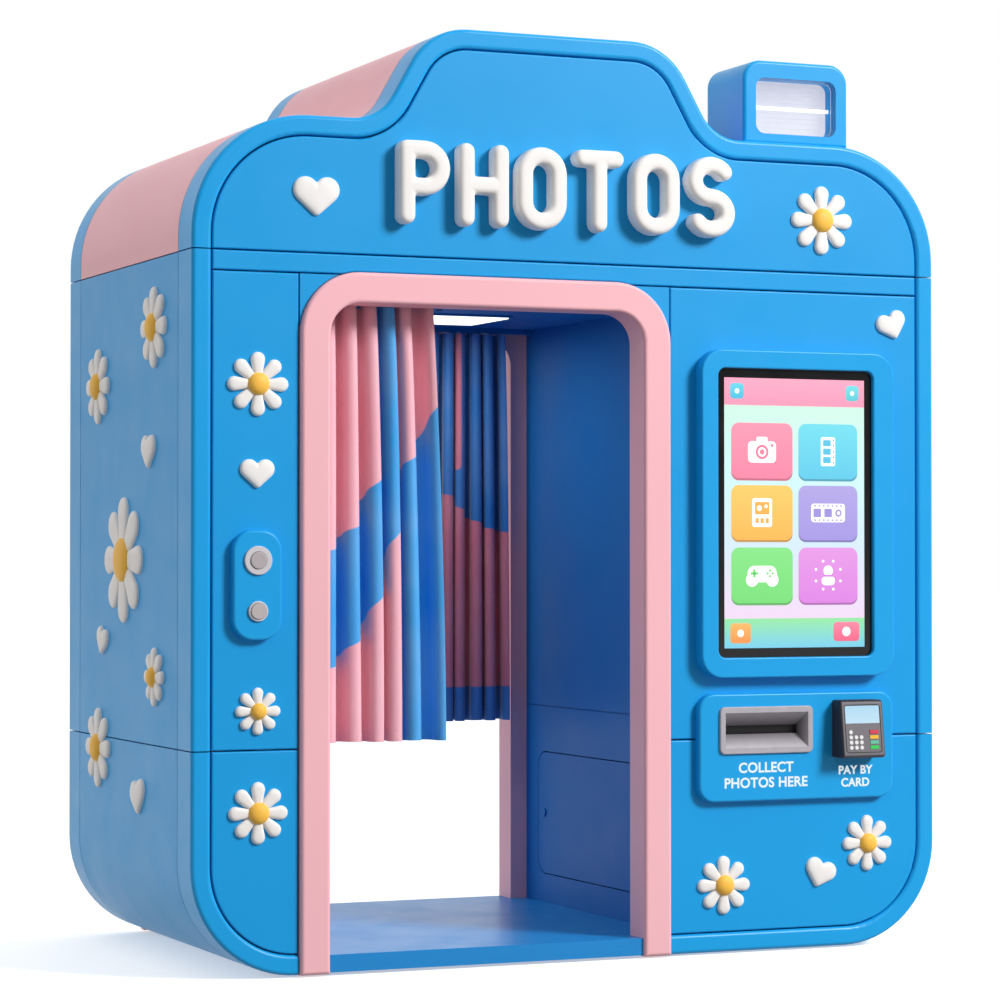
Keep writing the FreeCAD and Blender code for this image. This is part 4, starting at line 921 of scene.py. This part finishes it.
@dataclass
class Hearts:
    """Foam hearts: two round lobes whose sides run straight to a blunt tip.

    The lobes and the tip are shares of the heart's height.
    """

    thickness: float = 12 * MM
    flatness: float = 3.4
    points: int = 72
    ray_steps: int = 1500
    soften: int = 2
    spread: float = 0.29
    lobe: float = 0.33
    lobe_level: float = 0.13
    tip: float = 0.07
    tip_level: float = -0.47

    def inside(self, across: np.ndarray, up: np.ndarray) -> np.ndarray:
        """Whether places lie inside the heart.

        Args:
            across: Places across, with the heart's axis at 0.
            up: Places upwards.

        Returns:
            True for each place inside.
        """
        wide = np.abs(across)
        fall = self.lobe_level - self.tip_level
        slope = math.acos((self.tip - self.lobe) / math.hypot(self.spread, fall)) - math.atan2(
            fall, self.spread)
        reach = self.tip - self.tip_level * math.sin(slope)
        under_side = wide * math.cos(slope) - up * math.sin(slope) <= reach
        low = self.tip_level - self.tip * math.sin(slope)
        high = self.lobe_level - self.lobe * math.sin(slope)
        wedge = under_side & (up >= low) & (up <= high)
        core = (wide <= self.spread) & (up >= self.tip_level) & (up <= self.lobe_level)
        lobes = np.hypot(wide - self.spread, up - self.lobe_level) <= self.lobe
        blunt = np.hypot(wide, up - self.tip_level) <= self.tip
        return lobes | blunt | wedge | (core & under_side)

    def outline(self, size: float) -> list[Point]:
        """Outline of an upright heart.

        Args:
            size: Its height.

        Returns:
            The outline, round its middle.
        """
        ray = np.linspace(0.0, 1.0, self.ray_steps)
        curve = []
        for k in range(self.points):
            turn = 2 * math.pi * k / self.points + math.pi / 2
            across, up = ray * math.cos(turn), ray * math.sin(turn)
            reach = ray[np.nonzero(self.inside(across, up))[0].max()]
            curve.append((reach * math.cos(turn), reach * math.sin(turn)))
        shape = np.array(curve)
        for _ in range(self.soften):
            shape = (np.roll(shape, 1, axis=0) + 2 * shape + np.roll(shape, -1, axis=0)) / 4
        low, high = shape.min(axis=0), shape.max(axis=0)
        shape = (shape - (low + high) / 2) * size / (high[1] - low[1])
        return [(float(a), float(b)) for a, b in shape]

    def build(self) -> None:
        """Build all hearts as one piece, each on the axis of its solid."""
        piece = Piece("heart_pads")
        for points in islands("hearts"):
            side = facing(points)
            flat = points - points.mean(axis=0)
            outward = np.array(side.value)
            flat = flat - np.outer(flat @ outward, outward)
            tip = flat[np.argmax(np.linalg.norm(flat, axis=1))]
            upward = -tip / np.linalg.norm(tip)
            reach = flat @ upward
            middle = Vector(points.mean(axis=0) + upward * (reach.max() + reach.min()) / 2)
            depth = (points - np.array(middle)) @ outward
            foot = middle + side.outward * float(depth.min())
            piece.pad(self.outline(float(reach.max() - reach.min())),
                      seat(foot, side.outward, Vector(upward)), self.thickness, WHITE_FOAM,
                      power=self.flatness, rings=9)
        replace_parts(piece.build("booth", "white_heart"), "hearts")


# ---------------------------------------------------------------- sign letters

@dataclass
class SignLetters:
    """Thick foam capitals with round ends and soft edges."""

    word: str = "PHOTOS"
    stroke: float = 42 * MM
    edge: float = 13 * MM
    voxel: float = 3.0 * MM
    gap: float = 22 * MM

    def paths(self, letter: str, width: float, height: float) -> list[list[Point]]:
        """Middle lines of a letter's strokes.

        Args:
            letter: The capital.
            width: Width between the outermost middle lines.
            height: Height between them.

        Returns:
            Each stroke's points, from the lower left of the middle lines.
        """
        half, bowl = width / 2, height * 0.28
        if letter == "P":
            turn = arc((width - bowl, height - bowl), bowl, 90, -90, 12)
            return [[(0, 0), (0, height)], [(0, height)] + turn + [(0, height - 2 * bowl)]]
        if letter == "H":
            return [[(0, 0), (0, height)], [(width, 0), (width, height)],
                    [(0, height / 2), (width, height / 2)]]
        if letter == "T":
            return [[(half, 0), (half, height)], [(0, height), (width, height)]]
        if letter == "O":
            ring = (arc((half, height - half), half, 0, 180, 16)
                    + arc((half, half), half, 180, 360, 16))
            return [ring + [ring[0]]]
        curl = height / 4
        reach = half / curl
        top = [(half + x * reach, height - curl + z) for x, z in arc((0, 0), curl, 35, 270, 18)]
        low = [(half + x * reach, curl + z) for x, z in arc((0, 0), curl, 90, -145, 18)]
        return [top + low[1:]]

    def profile(self, depth: float) -> list[Point]:
        """Half section of a stroke: (out from its middle line, height)."""
        half = self.stroke / 2
        return [(half, 0.0)] + arc((half - self.edge, depth - self.edge), self.edge, 0, 90, 5)

    def puck(self, piece: Piece, base: Matrix, point: Point, depth: float) -> None:
        """Round end or bend of a stroke.

        Args:
            piece: The piece that it joins.
            base: Where the letter lies.
            point: Its middle.
            depth: The letter's thickness.
        """
        steps, half = 20, self.profile(depth)
        points = [base @ Vector((point[0] + out * math.cos(2 * math.pi * k / steps),
                                 point[1] + out * math.sin(2 * math.pi * k / steps), up))
                  for out, up in half for k in range(steps)]
        rows = len(half)
        faces = [tuple(reversed(range(steps))),
                 tuple(range((rows - 1) * steps, rows * steps))]
        for row in range(rows - 1):
            faces += belt(row * steps, (row + 1) * steps, steps)
        piece.add(points, faces, WHITE_FOAM)

    def bar(self, piece: Piece, base: Matrix, ends: tuple[Point, Point], depth: float) -> None:
        """Straight stretch of a stroke.

        Args:
            piece: The piece that it joins.
            base: Where the letter lies.
            ends: Its two ends.
            depth: The letter's thickness.
        """
        start, end = Vector(ends[0]), Vector(ends[1])
        if (end - start).length < 1e-6:
            return
        along = (end - start).normalized()
        across = Vector((-along.y, along.x))
        half = self.profile(depth)
        section = half + [(-out, up) for out, up in reversed(half)]
        points = [base @ Vector((*(spot + across * out), up))
                  for spot in (start, end) for out, up in section]
        count = len(section)
        faces = [tuple(range(count)), tuple(reversed(range(count, 2 * count)))]
        faces += [(k, count + k, count + (k + 1) % count, (k + 1) % count)
                  for k in range(count)]
        piece.add(points, faces, WHITE_FOAM)

    def build(self) -> None:
        """Lay the strokes, melt them into one skin and soften it."""
        low, high = (Vector(corner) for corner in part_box("sign_letters"))
        depth = high.y - low.y
        cell = (high.x - low.x - self.gap * (len(self.word) - 1)) / len(self.word)
        width, height = cell - self.stroke, high.z - low.z - self.stroke
        piece = Piece("sign_letter_strokes")
        for number, letter in enumerate(self.word):
            corner = Vector((low.x + number * (cell + self.gap) + self.stroke / 2, high.y,
                             low.z + self.stroke / 2))
            base = seat(corner, Side.FRONT.outward)
            for path in self.paths(letter, width, height):
                for point in path:
                    self.puck(piece, base, point, depth)
                for ends in zip(path, path[1:]):
                    self.bar(piece, base, ends, depth)
        rough = piece.build("", "white_letter")
        melt = rough.modifiers.new("melt", "REMESH")
        melt.mode, melt.voxel_size = "VOXEL", self.voxel
        soft = rough.modifiers.new("soften", "SMOOTH")
        soft.factor, soft.iterations = 0.5, 5
        mesh = applied(rough)
        for point in mesh.vertices:
            point.co.y = min(point.co.y, high.y)
        mesh.materials.clear()
        mesh.materials.append(WHITE_FOAM.material())
        item = settle(mesh, "sign_word", "booth", 180.0)
        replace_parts(item, "sign_letters")


# ---------------------------------------------------------------- curtains

@dataclass
class Curtain:
    """A pleated curtain, gathered on its gliders beside a doorway."""

    end: str
    lead_body: str
    fold_widths: tuple[float, ...]
    fold_cloth: tuple[float, ...]
    dye: Callable[[np.ndarray, np.ndarray], np.ndarray]
    finish: Finish
    fixed_left: bool
    top_share: float = 0.90
    top_inset: float = 0.0
    lean: float = 0.0
    heading: float = 10 * MM
    thickness: float = 1.4 * MM
    steps: int = 34
    row_height: float = 14 * MM
    slack_power: float = 0.62
    gather: float = 1.6
    pinch: float = 0.20
    pinch_fade: float = 9.0
    sway: float = 2.5 * MM
    hem_wave: float = 1.5 * MM

    def plan(self, low: Vector, high: Vector) -> tuple[np.ndarray, np.ndarray, np.ndarray]:
        """Folds in plan: a meander whose loops open and close with their cloth.

        Args:
            low: Lowest corner of the curtain's space.
            high: Highest corner.

        Returns:
            Distance from the fixed edge, depth from the rail, and place in folds.
        """
        across, depth, place = [0.0], [0.0], [0.0]
        for number, (width, cloth) in enumerate(zip(self.fold_widths, self.fold_cloth)):
            swing = BESSEL_ZERO * (1 - width / cloth) ** self.slack_power
            phase = (np.arange(self.steps) + 0.5) / self.steps * 2 * math.pi
            turn = swing * np.sin(phase)
            run = np.cumsum(np.cos(turn)) * cloth / self.steps
            rise = np.cumsum(np.sin(turn)) * cloth / self.steps
            start = across[-1]
            across += list(start + run * width / run[-1])
            depth += list(rise)
            place += list(number + (np.arange(self.steps) + 1) / self.steps)
        line = np.array(depth)
        line = line - (line.max() + line.min()) / 2
        limit = (high.y - low.y - self.thickness) / 2 - 1 * MM
        line = line * min(1.0, limit / line.max())
        span = (high.x - low.x) / across[-1]
        return np.array(across) * span, line, np.array(place)

    def hang(self, low: Vector, high: Vector, down: np.ndarray) -> tuple[np.ndarray, np.ndarray]:
        """Let the folds hang from the rail to the hem.

        Args:
            low: Lowest corner of the curtain's space.
            high: Highest corner.
            down: Column of shares of the drop, 0 at the top and 1 at the hem.

        Returns:
            Points row by row from the top, and each column's place in folds.
        """
        across, depth, place = self.plan(low, high)
        top = high.z + self.heading
        topness = (1 - down) ** self.gather
        flare = 1 - (1 - self.top_share) * topness
        share = place / place[-1]
        # slow sine drifts keep neighbouring folds from looking alike
        drift = self.sway * np.sin(place * 2.3 + down * 2.2) * down * np.sin(math.pi * share)
        pinched = (1 - self.pinch) + self.pinch * (1 - np.exp(-down * self.pinch_fade))
        deep = depth * pinched * (1 + 0.05 * np.sin(place * 1.7 + 3.1 * down))
        deep = np.clip(deep, depth.min(), depth.max())
        skew = -self.lean * deep * np.minimum(1.0, 6 * share * (1 - share))
        reach = self.top_inset * topness + across * flare + drift + skew
        x = low.x + reach if self.fixed_left else high.x - reach
        x = np.clip(x, low.x, high.x)
        y = (low.y + high.y) / 2 + deep
        z = top - down * (top - low.z) + self.hem_wave * np.sin(place * 4.1) * down ** 8
        z = np.clip(z, low.z, top)
        return np.stack([x, y, z * np.ones_like(x)], axis=2).reshape(-1, 3), place

    def weave(self, name: str, grid: np.ndarray, place: np.ndarray,
              heights: np.ndarray) -> tuple[bpy.types.Mesh, float]:
        """Turn the points into cloth that knows its print and its own measure.

        Args:
            name: The mesh's name.
            grid: The points, row by row from the top.
            place: Each column's place in folds.
            heights: Each row's height above the hem.

        Returns:
            The mesh, and the flat cloth's width.
        """
        count, rows = len(place), len(heights) - 1
        faces = [(r * count + k, r * count + k + 1, (r + 1) * count + k + 1, (r + 1) * count + k)
                 for r in range(rows) for k in range(count - 1)]
        mesh = bpy.data.meshes.new(name)
        mesh.from_pydata(grid.tolist(), [], faces)
        reading = self.dye(np.tile(place, rows + 1), grid[:, 2])
        mesh.attributes.new("dye", "FLOAT", "POINT").data.foreach_set(
            "value", reading.astype(np.float32))
        cloth = np.concatenate([[0.0], np.cumsum(np.repeat(
            np.array(self.fold_cloth) / self.steps, self.steps))])
        layer = mesh.uv_layers.new(name="cloth")
        corners = np.empty(len(mesh.loops), dtype=np.int32)
        mesh.loops.foreach_get("vertex_index", corners)
        marks = np.stack([cloth[corners % count], heights[corners // count]], axis=1)
        layer.data.foreach_set("uv", marks.ravel().astype(np.float32))
        mesh.materials.append(self.finish.material())
        return mesh, float(cloth[-1])

    def build(self) -> None:
        """Hang the cloth, print it and thicken it."""
        node = self.end + "_curtain"
        low, high = (Vector(corner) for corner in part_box(node))
        drop = high.z + self.heading - low.z
        rows = round(drop / self.row_height)
        grid, place = self.hang(low, high, np.linspace(0, 1, rows + 1)[:, None])
        mesh, width = self.weave(node + "_cloth", grid, place, np.linspace(drop, 0, rows + 1))
        item = placed(node + "_rough", mesh)
        thick = item.modifiers.new("thickness", "SOLIDIFY")
        thick.thickness, thick.offset = self.thickness, 0.0
        piece = settle(applied(item), node + "_cloth", "", 70.0)
        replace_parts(piece, node)
        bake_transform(piece)


def front_print(place: np.ndarray, height: np.ndarray) -> np.ndarray:
    """Print of the front curtain: a wide band that climbs across, and one upright stripe.

    Args:
        place: Place across the cloth, in folds from the fixed edge.
        height: Height in metres.

    Returns:
        Distance in metres from the print's edge, positive inside the print.
    """
    upper = np.interp(place, (0, 1.5, 2.1, 2.5, 3.1, 4.5, 5.1, 5.5, 6.0),
                      (0.960, 1.032, 1.068, 1.117, 1.182, 1.189, 1.237, 1.274, 1.358))
    lower = np.interp(place, (0, 1.5, 2.1, 2.5, 3.1, 3.5, 4.15, 4.3),
                      (0.690, 0.743, 0.791, 0.815, 0.900, 0.960, 1.066, 0.40))
    band = np.minimum(upper - height, height - lower)
    stripe = np.minimum((0.46 - np.abs(place - 3.77)) * 0.15, height - lower)
    return np.maximum(band, stripe)


def back_print(place: np.ndarray, height: np.ndarray) -> np.ndarray:
    """Print of the back curtain: a wavy upper field, one bare stripe in it, and a hem band.

    Args:
        place: Place across the cloth, in folds from the fixed edge.
        height: Height in metres.

    Returns:
        Distance in metres from the print's edge, positive inside the print.
    """
    wave = np.interp(place, (0, 1.2, 2.4, 3.6, 4.7, 5.8, 7), (1.060, 1.072, 1.098, 1.152, 1.174,
                                                             1.164, 1.112))
    bare = np.minimum((0.30 - np.abs(place - 3.30)) * 0.15, height - 1.230)
    field_edge = np.minimum(height - wave, -bare)
    return np.maximum(field_edge, 0.638 - height)


# ---------------------------------------------------------------- touch screen

@dataclass
class ScreenPicture:
    """Menu on the touch screen: a header, six tiles with icons, and a foot bar."""

    side_border: float = 21 * MM
    end_border: float = 23 * MM
    layer: float = 0.15 * MM
    icon_share: float = 1.14
    corner_share: float = 0.15
    lip_drop: float = 0.008
    lip_shade: float = 0.78
    square: float = 0.1 * MM
    button_radius: float = 10 * MM
    button_dot: float = 0.16
    columns: tuple[Point, ...] = ((0.048, 0.483), (0.525, 0.950))
    lines: tuple[Point, ...] = ((0.166, 0.372), (0.397, 0.600), (0.628, 0.834))
    tiles: tuple[tuple[str, str, str], ...] = (
        ("F97F9E", "FC93AC", "camera"), ("55C3E2", "6CD8E8", "strip"),
        ("F6B145", "FAC85F", "collage"), ("9D8FDC", "AC9FDE", "ticket"),
        ("6CD56C", "7FDF7E", "gamepad"), ("D67BDB", "DF92DF", "mic"))
    piece: Piece = field(default_factory=lambda: Piece("screen_picture"))

    def __post_init__(self) -> None:
        """Take the picture's corners from the glass."""
        low, high = (Vector(corner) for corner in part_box("touch_screen"))
        self.left, self.right = low.x + self.side_border, high.x - self.side_border
        self.foot, self.head = low.z + self.end_border, high.z - self.end_border
        self.base = seat(Vector((0, low.y, 0)), Side.FRONT.outward)

    def spot(self, across: float, down: float) -> Point:
        """Place on the glass of a share of the picture's width and height."""
        return (self.left + (self.right - self.left) * across,
                self.head + (self.foot - self.head) * down)

    def lay(self, outline: Sequence[Point], level: int, finish: Finish) -> None:
        """Lay one flat shape on the glass.

        Args:
            outline: Its outline.
            level: How many layers lie under it.
            finish: Its colour.
        """
        self.piece.prism(outline, self.base, self.layer * 0.2,
                         self.layer * (level + 1), finish)

    def panel(self, across: Point, down: Point, radius: float, level: int, foot: str,
              head: str, name: str) -> Point:
        """Lay a rounded rectangle.

        Args:
            across: Its left and right, as shares of the width.
            down: Its top and bottom, as shares of the height.
            radius: Corner radius.
            level: How many layers lie under it.
            foot: Colour at its foot.
            head: Colour at its head.
            name: The finish's name.

        Returns:
            Its middle.
        """
        left, top = self.spot(across[0], down[0])
        right, bottom = self.spot(across[1], down[1])
        middle = ((left + right) / 2, (top + bottom) / 2)
        self.lay(block(middle, right - left, top - bottom, radius), level,
                 Glow(name, foot, head, low=bottom, high=top))
        return middle

    def icon(self, kind: str, middle: Point, size: float, ground: Finish) -> None:
        """Lay a white icon on a tile.

        Args:
            kind: Which icon.
            middle: Its middle.
            size: Height of the tile.
            ground: The tile's own colour, for the icon's openings.
        """
        white = PICTURE_WHITE

        def at(across: float, up: float) -> Point:
            """Place on the tile, in shares of the icon's size."""
            return (middle[0] + across * size, middle[1] + up * size)

        def slab(across: float, up: float, wide: float, tall: float, radius: float,
                 level: int, finish: Finish) -> None:
            """Lay a rounded rectangle."""
            self.lay(block(at(across, up), wide * size, tall * size, radius * size), level,
                     finish)

        def dot(across: float, up: float, radius: float, level: int, finish: Finish) -> None:
            """Lay a disc."""
            self.lay(disc(at(across, up), radius * size, 24), level, finish)

        if kind == "camera":
            slab(0, -0.02, 0.50, 0.34, 0.07, 4, white)
            slab(0, 0.16, 0.20, 0.12, 0.03, 4, white)
            dot(0, -0.02, 0.115, 5, ground)
            dot(0, -0.02, 0.075, 6, white)
            dot(0, -0.02, 0.042, 7, ground)
            dot(0.18, 0.085, 0.025, 5, ground)
        elif kind == "strip":
            slab(0, 0, 0.26, 0.46, 0.03, 4, white)
            for up in (0.135, 0.0, -0.135):
                slab(-0.02, up, 0.14, 0.10, 0.015, 5, ground)
            for up in (-0.18, -0.09, 0.0, 0.09, 0.18):
                slab(0.10, up, 0.025, 0.03, 0.005, 5, ground)
        elif kind == "collage":
            slab(0, 0, 0.36, 0.46, 0.04, 4, white)
            slab(0, 0.07, 0.26, 0.20, 0.02, 5, ground)
            dot(-0.05, 0.07, 0.045, 6, white)
            dot(0.07, 0.10, 0.03, 6, white)
            for across in (-0.09, 0.0, 0.09):
                slab(across, -0.13, 0.06, 0.08, 0.012, 5, ground)
        elif kind == "ticket":
            slab(0, 0, 0.62, 0.30, 0.05, 4, white)
            for across in (-0.2, 0.0):
                slab(across, 0.0, 0.14, 0.14, 0.02, 5, ground)
            for across in (-0.24, -0.16, -0.08, 0.0, 0.08, 0.16, 0.24):
                for up in (-0.115, 0.115):
                    slab(across, up, 0.035, 0.025, 0.006, 5, ground)
            dot(0.19, 0.0, 0.06, 5, ground)
            dot(0.19, 0.0, 0.03, 6, white)
        elif kind == "gamepad":
            slab(0, 0.02, 0.52, 0.26, 0.12, 4, white)
            dot(-0.18, -0.07, 0.11, 4, white)
            dot(0.18, -0.07, 0.11, 4, white)
            slab(-0.14, 0.03, 0.13, 0.04, 0.01, 5, ground)
            slab(-0.14, 0.03, 0.04, 0.13, 0.01, 5, ground)
            for across, up in ((0.14, 0.075), (0.14, -0.015), (0.095, 0.03), (0.185, 0.03)):
                dot(across, up, 0.02, 5, ground)
        else:
            for turn in range(8):
                angle = math.radians(turn * 45 + 22.5)
                dot(0.24 * math.cos(angle), 0.24 * math.sin(angle), 0.022, 4, white)
            dot(0, 0.07, 0.085, 4, white)
            slab(0, -0.09, 0.24, 0.14, 0.065, 4, white)
            slab(0, -0.01, 0.17, 0.03, 0.012, 5, ground)

    def build(self) -> None:
        """Lay the ground, the bars, the tiles and the small buttons."""
        full = (0.0, 1.0)
        bands = (((0.0, 0.30), "C7F0EC", "CBF5D6", "picture_upper_ground"),
                 ((0.30, 0.62), "CDE2F4", "C7F0EC", "picture_middle_ground"),
                 ((0.62, 1.0), "F3C9E6", "CDE2F4", "picture_lower_ground"))
        for down, foot, head, name in bands:
            self.panel(full, down, self.square, 0, foot, head, name)
        self.panel(full, (0.0, 0.101), self.square, 1, "FF94B4", "FFA3BE", "picture_header")
        self.panel(full, (0.891, 1.0), self.square, 1, "6FC6E4", "8EE09A", "picture_foot_bar")
        places = [(across, down) for down in self.lines for across in self.columns]
        for (foot, head, kind), (across, down) in zip(self.tiles, places):
            radius = self.corner_share * (self.head - self.foot) * (down[1] - down[0])
            dark = "".join(f"{round(int(foot[k:k + 2], 16) * self.lip_shade):02x}"
                           for k in (0, 2, 4))
            self.panel(across, (down[0] + self.lip_drop, down[1] + self.lip_drop), radius, 2,
                       dark, dark, "tile_lip_" + kind)
            middle = self.panel(across, down, radius, 3, foot, head, "tile_" + kind)
            tall = (self.head - self.foot) * (down[1] - down[0]) * self.icon_share
            ground = Glow("tile_opening_" + kind, foot, foot, strength=0.8)
            self.icon(kind, middle, tall, ground)
        for across, down, foot, head, name in (
                ((0.040, 0.138), (0.020, 0.078), "3FB8D8", "62D4EA", "home_button"),
                ((0.867, 0.960), (0.020, 0.078), "4CC3CF", "74DCE2", "help_button"),
                ((0.040, 0.185), (0.908, 0.982), "F08A3C", "FBB45A", "back_button"),
                ((0.775, 0.962), (0.906, 0.978), "E8567C", "FF7F9C", "next_button")):
            middle = self.panel(across, down, self.button_radius, 3, foot, head, name)
            wide = (self.right - self.left) * (across[1] - across[0])
            self.lay(disc(middle, wide * self.button_dot, 20), 4, PICTURE_WHITE)
        self.piece.build("booth", "screen_glass", 30.0)


# ---------------------------------------------------------------- outlet plate

@dataclass(frozen=True)
class Caption:
    """Lines of capitals under one fitting of the outlet plate."""

    lines: tuple[str, ...]
    node: str
    size: float
    leading: float
    drop: float
    shift: float = 0.0
    thickness: float = 0.35 * MM
    bold: float = 0.9 * MM

    def add(self, piece: Piece, front: float) -> None:
        """Set the lines, one under another.

        Args:
            piece: The piece that they join.
            front: The plate's front.
        """
        low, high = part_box(self.node)
        middle = (low[0] + high[0]) / 2 + self.shift
        for number, text in enumerate(self.lines):
            curve = bpy.data.curves.new("caption", "FONT")
            curve.body, curve.size, curve.offset = text, self.size, self.bold
            curve.align_x, curve.align_y = "CENTER", "CENTER"
            curve.extrude, curve.space_character = self.thickness, 1.04
            mesh = applied(placed("caption", curve))
            height = low[2] - self.drop - number * self.leading
            base = seat(Vector((middle, front, height)), Side.FRONT.outward)
            # the captions' ink glows: painted light
            piece.add([base @ point.co for point in mesh.vertices],
                      [tuple(face.vertices) for face in mesh.polygons], LABEL_INK_PAINTED_GLOW)


@dataclass
class OutletPlate:
    """White captions of the outlet plate, and the border line on the card reader's face."""

    captions: tuple[Caption, ...] = (
        Caption(("COLLECT", "PHOTOS HERE"), "strip_tray", 35 * MM, 37.6 * MM, 36 * MM),
        Caption(("PAY BY", "CARD"), "card_reader", 29.5 * MM, 31.5 * MM, 33.5 * MM, 5 * MM))
    line_inset: float = 3.5 * MM
    line_width: float = 2.2 * MM
    line_height: float = 0.3 * MM
    line_round: float = 8 * MM

    def face_line(self) -> None:
        """Lay a dark line round the reader's sloping face."""
        middle, outward, width, height = widest_front("card_reader")
        upward = Vector((0, 0, 1)) - outward * outward.z
        base = seat(middle, outward, upward.normalized())
        rings = [block((0.0, 0.0), width - 2 * inset, height - 2 * inset,
                       self.line_round - inset + self.line_inset)
                 for inset in (self.line_inset, self.line_inset + self.line_width)]
        piece = Piece("reader_border_line")
        piece.ring(rings[0], rings[1], base, -self.line_height, self.line_height, BLACK_CASE)
        piece.build("booth", "reader_plastic", 30.0)

    def build(self) -> None:
        """Set all captions as one piece, and lay the line."""
        plate_low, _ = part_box("outlet_plate")
        piece = Piece("outlet_captions")
        for caption in self.captions:
            caption.add(piece, plate_low[1])
        piece.build("booth", "white_letter", 30.0)
        self.face_line()


# ---------------------------------------------------------------- painting, light and camera

def paint_nodes() -> None:
    """Give each CAD node the finish of its slot in the record."""
    tray_low, tray_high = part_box("strip_tray")
    rim = tray_low[1] + 4 * MM
    _, outward, _, _ = widest_front("card_reader")
    special: dict[str, Finish] = {
        # the strip tray has painted shade: darker towards its back and black past the slot
        "strip_tray": Shaded("strip_tray_plastic_painted_shade", "B4AFB6", "6B676D", rim, rim + 30 * MM,
                             tray_high[1] - 3.5 * MM),
        # the card reader's face is painted lighter than its sides: painted light
        "card_reader": PaintedLightFacePlate("reader_case_painted_light", "2A2932", "6E6A70", tuple(outward)),
        "call_button": CALL_CAP, "flash_lens": FLASH_GLASS, "flash_reflector": REFLECTOR_PAINTED_GLOW,
        "flash_tube": FLASH_TUBE, "hatch_fittings": BLUE_LINING, "hatch_hinges": BLUE_LINING}
    for part in frame["record"]["subparts"]:
        name = part["node"]
        finish = special.get(name) or SLOT_FINISHES.get(part["material_slot"], BLUE_PANEL)
        item = frame["nodes"][name]
        if not item.material_slots:
            item.data.materials.append(finish.material())
        for holder in item.material_slots:
            holder.material = finish.material()
        LOG.info("%s: %s", name, finish.name)


@dataclass
class Studio:
    """Pale floor, soft light and the camera."""

    camera_place: Triple = (-3.26344, -7.56437, 0.98616)
    camera_turn: tuple[float, float] = (91.072, -23.396)
    lens: float = 113.77
    sensor: float = 36.0
    key_place: Triple = (6.9, -9.1, 7.5)
    key_target: Triple = (0.0, -0.4, 1.1)
    key_power: float = 1750.0
    key_size: float = 3.4
    cabin_power: float = 2.5
    cabin_drop: float = 0.01
    sky_depth: tuple[float, float] = (0.29, 1.05)
    sky_depth_span: tuple[float, float] = (-0.8, 0.5)
    sky_height: tuple[float, float] = (0.45, 1.0)
    sky_height_span: tuple[float, float] = (-0.3, 0.1)
    floor_reach: float = 60.0
    floor_glow: float = 0.45

    def lamp(self, name: str, place: Triple,
             target: Triple, power: float, size: float) -> None:
        """One soft square light.

        Args:
            name: Its name.
            place: Where it hangs.
            target: What it points at.
            power: Its power in watts.
            size: Its side.
        """
        light = bpy.data.lights.new(name, "AREA")
        light.energy, light.size = power, size
        item = placed(name, light)
        item.location = place
        aim = Vector(target) - Vector(place)
        item.rotation_euler = aim.to_track_quat("-Z", "Y").to_euler()

    def sky(self) -> None:
        """White all round for the eye, and softer from the front for the light."""
        graph = Graph("studio", sky=True)
        bpy.context.scene.world = graph.owner
        axes = graph.add("SeparateXYZ", None, Vector=graph.add("TexCoord").outputs["Generated"])
        depth = graph.ramp(axes.outputs[1], *self.sky_depth_span, *self.sky_depth)
        height = graph.ramp(axes.outputs[2], *self.sky_height_span, *self.sky_height)
        light = graph.sum("MULTIPLY", depth, height)
        seen = graph.add("Mix")
        graph.feed(seen.inputs[0], graph.add("LightPath").outputs["Is Camera Ray"])
        graph.feed(seen.inputs[2], light)
        graph.feed(seen.inputs[3], 1.0)
        shine = graph.add("Background", None, Color=WHITE, Strength=seen.outputs[0])
        graph.add("OutputWorld", None, Surface=shine.outputs[0])

    def floor(self) -> None:
        """Pale floor that runs far out."""
        graph = Graph("studio_floor_paint")
        pale = graph.surface(
            Base_Color=graph.mix(graph.noise(0.6), (0.90, 0.90, 0.90, 1), (0.93, 0.93, 0.93, 1)),
            Roughness=0.9, Specular_IOR_Level=0.1, Emission_Color=WHITE,
            Emission_Strength=self.floor_glow)
        mesh = bpy.data.meshes.new("studio_floor")
        reach = self.floor_reach
        mesh.from_pydata([(-reach, -reach, 0), (reach, -reach, 0), (reach, reach, 0),
                          (-reach, reach, 0)], [], [(0, 1, 2, 3)])
        mesh.materials.append(pale)
        item = placed("studio_floor", mesh)
        item.visible_diffuse = False

    def build(self) -> None:
        """Set up everything that isn't the booth."""
        scene = bpy.context.scene
        scene.view_settings.view_transform = "Standard"
        self.sky()
        self.floor()
        self.lamp("key", self.key_place, self.key_target, self.key_power, self.key_size)
        low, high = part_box("ceiling_light_diffuser")
        middle = ((low[0] + high[0]) / 2, (low[1] + high[1]) / 2)
        self.lamp("cabin", (*middle, low[2] - self.cabin_drop), (*middle, 0.0),
                  self.cabin_power, high[1] - low[1])
        camera = bpy.data.cameras.new("camera")
        camera.lens, camera.sensor_width = self.lens, self.sensor
        item = placed("camera", camera)
        item.location = self.camera_place
        item.rotation_euler = (math.radians(self.camera_turn[0]), 0.0,
                               math.radians(self.camera_turn[1]))
        scene.camera = item


def main() -> None:
    """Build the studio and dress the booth."""
    logging.basicConfig(level=logging.INFO, format="%(message)s")
    Studio().build()
    paint_nodes()
    Daisies().build()
    Hearts().build()
    SignLetters().build()
    Curtain("front", "front_curtain_lead", (0.024, 0.062, 0.059, 0.051, 0.046, 0.084),
            (0.128, 0.158, 0.154, 0.150, 0.144, 0.168), front_print,
            Woven("front_curtain_cloth", "F4B2C0", "289FE8"), True, lean=0.28).build()
    Curtain("back", "back_curtain_lead", (0.054, 0.038, 0.052, 0.036, 0.050, 0.042, 0.054),
            (0.145, 0.134, 0.142, 0.134, 0.142, 0.136, 0.145), back_print,
            Woven("back_curtain_cloth", "DA7488", "1272BC"), False, top_inset=0.012).build()
    ScreenPicture().build()
    OutletPlate().build()


if __name__ == "__main__":
    main()
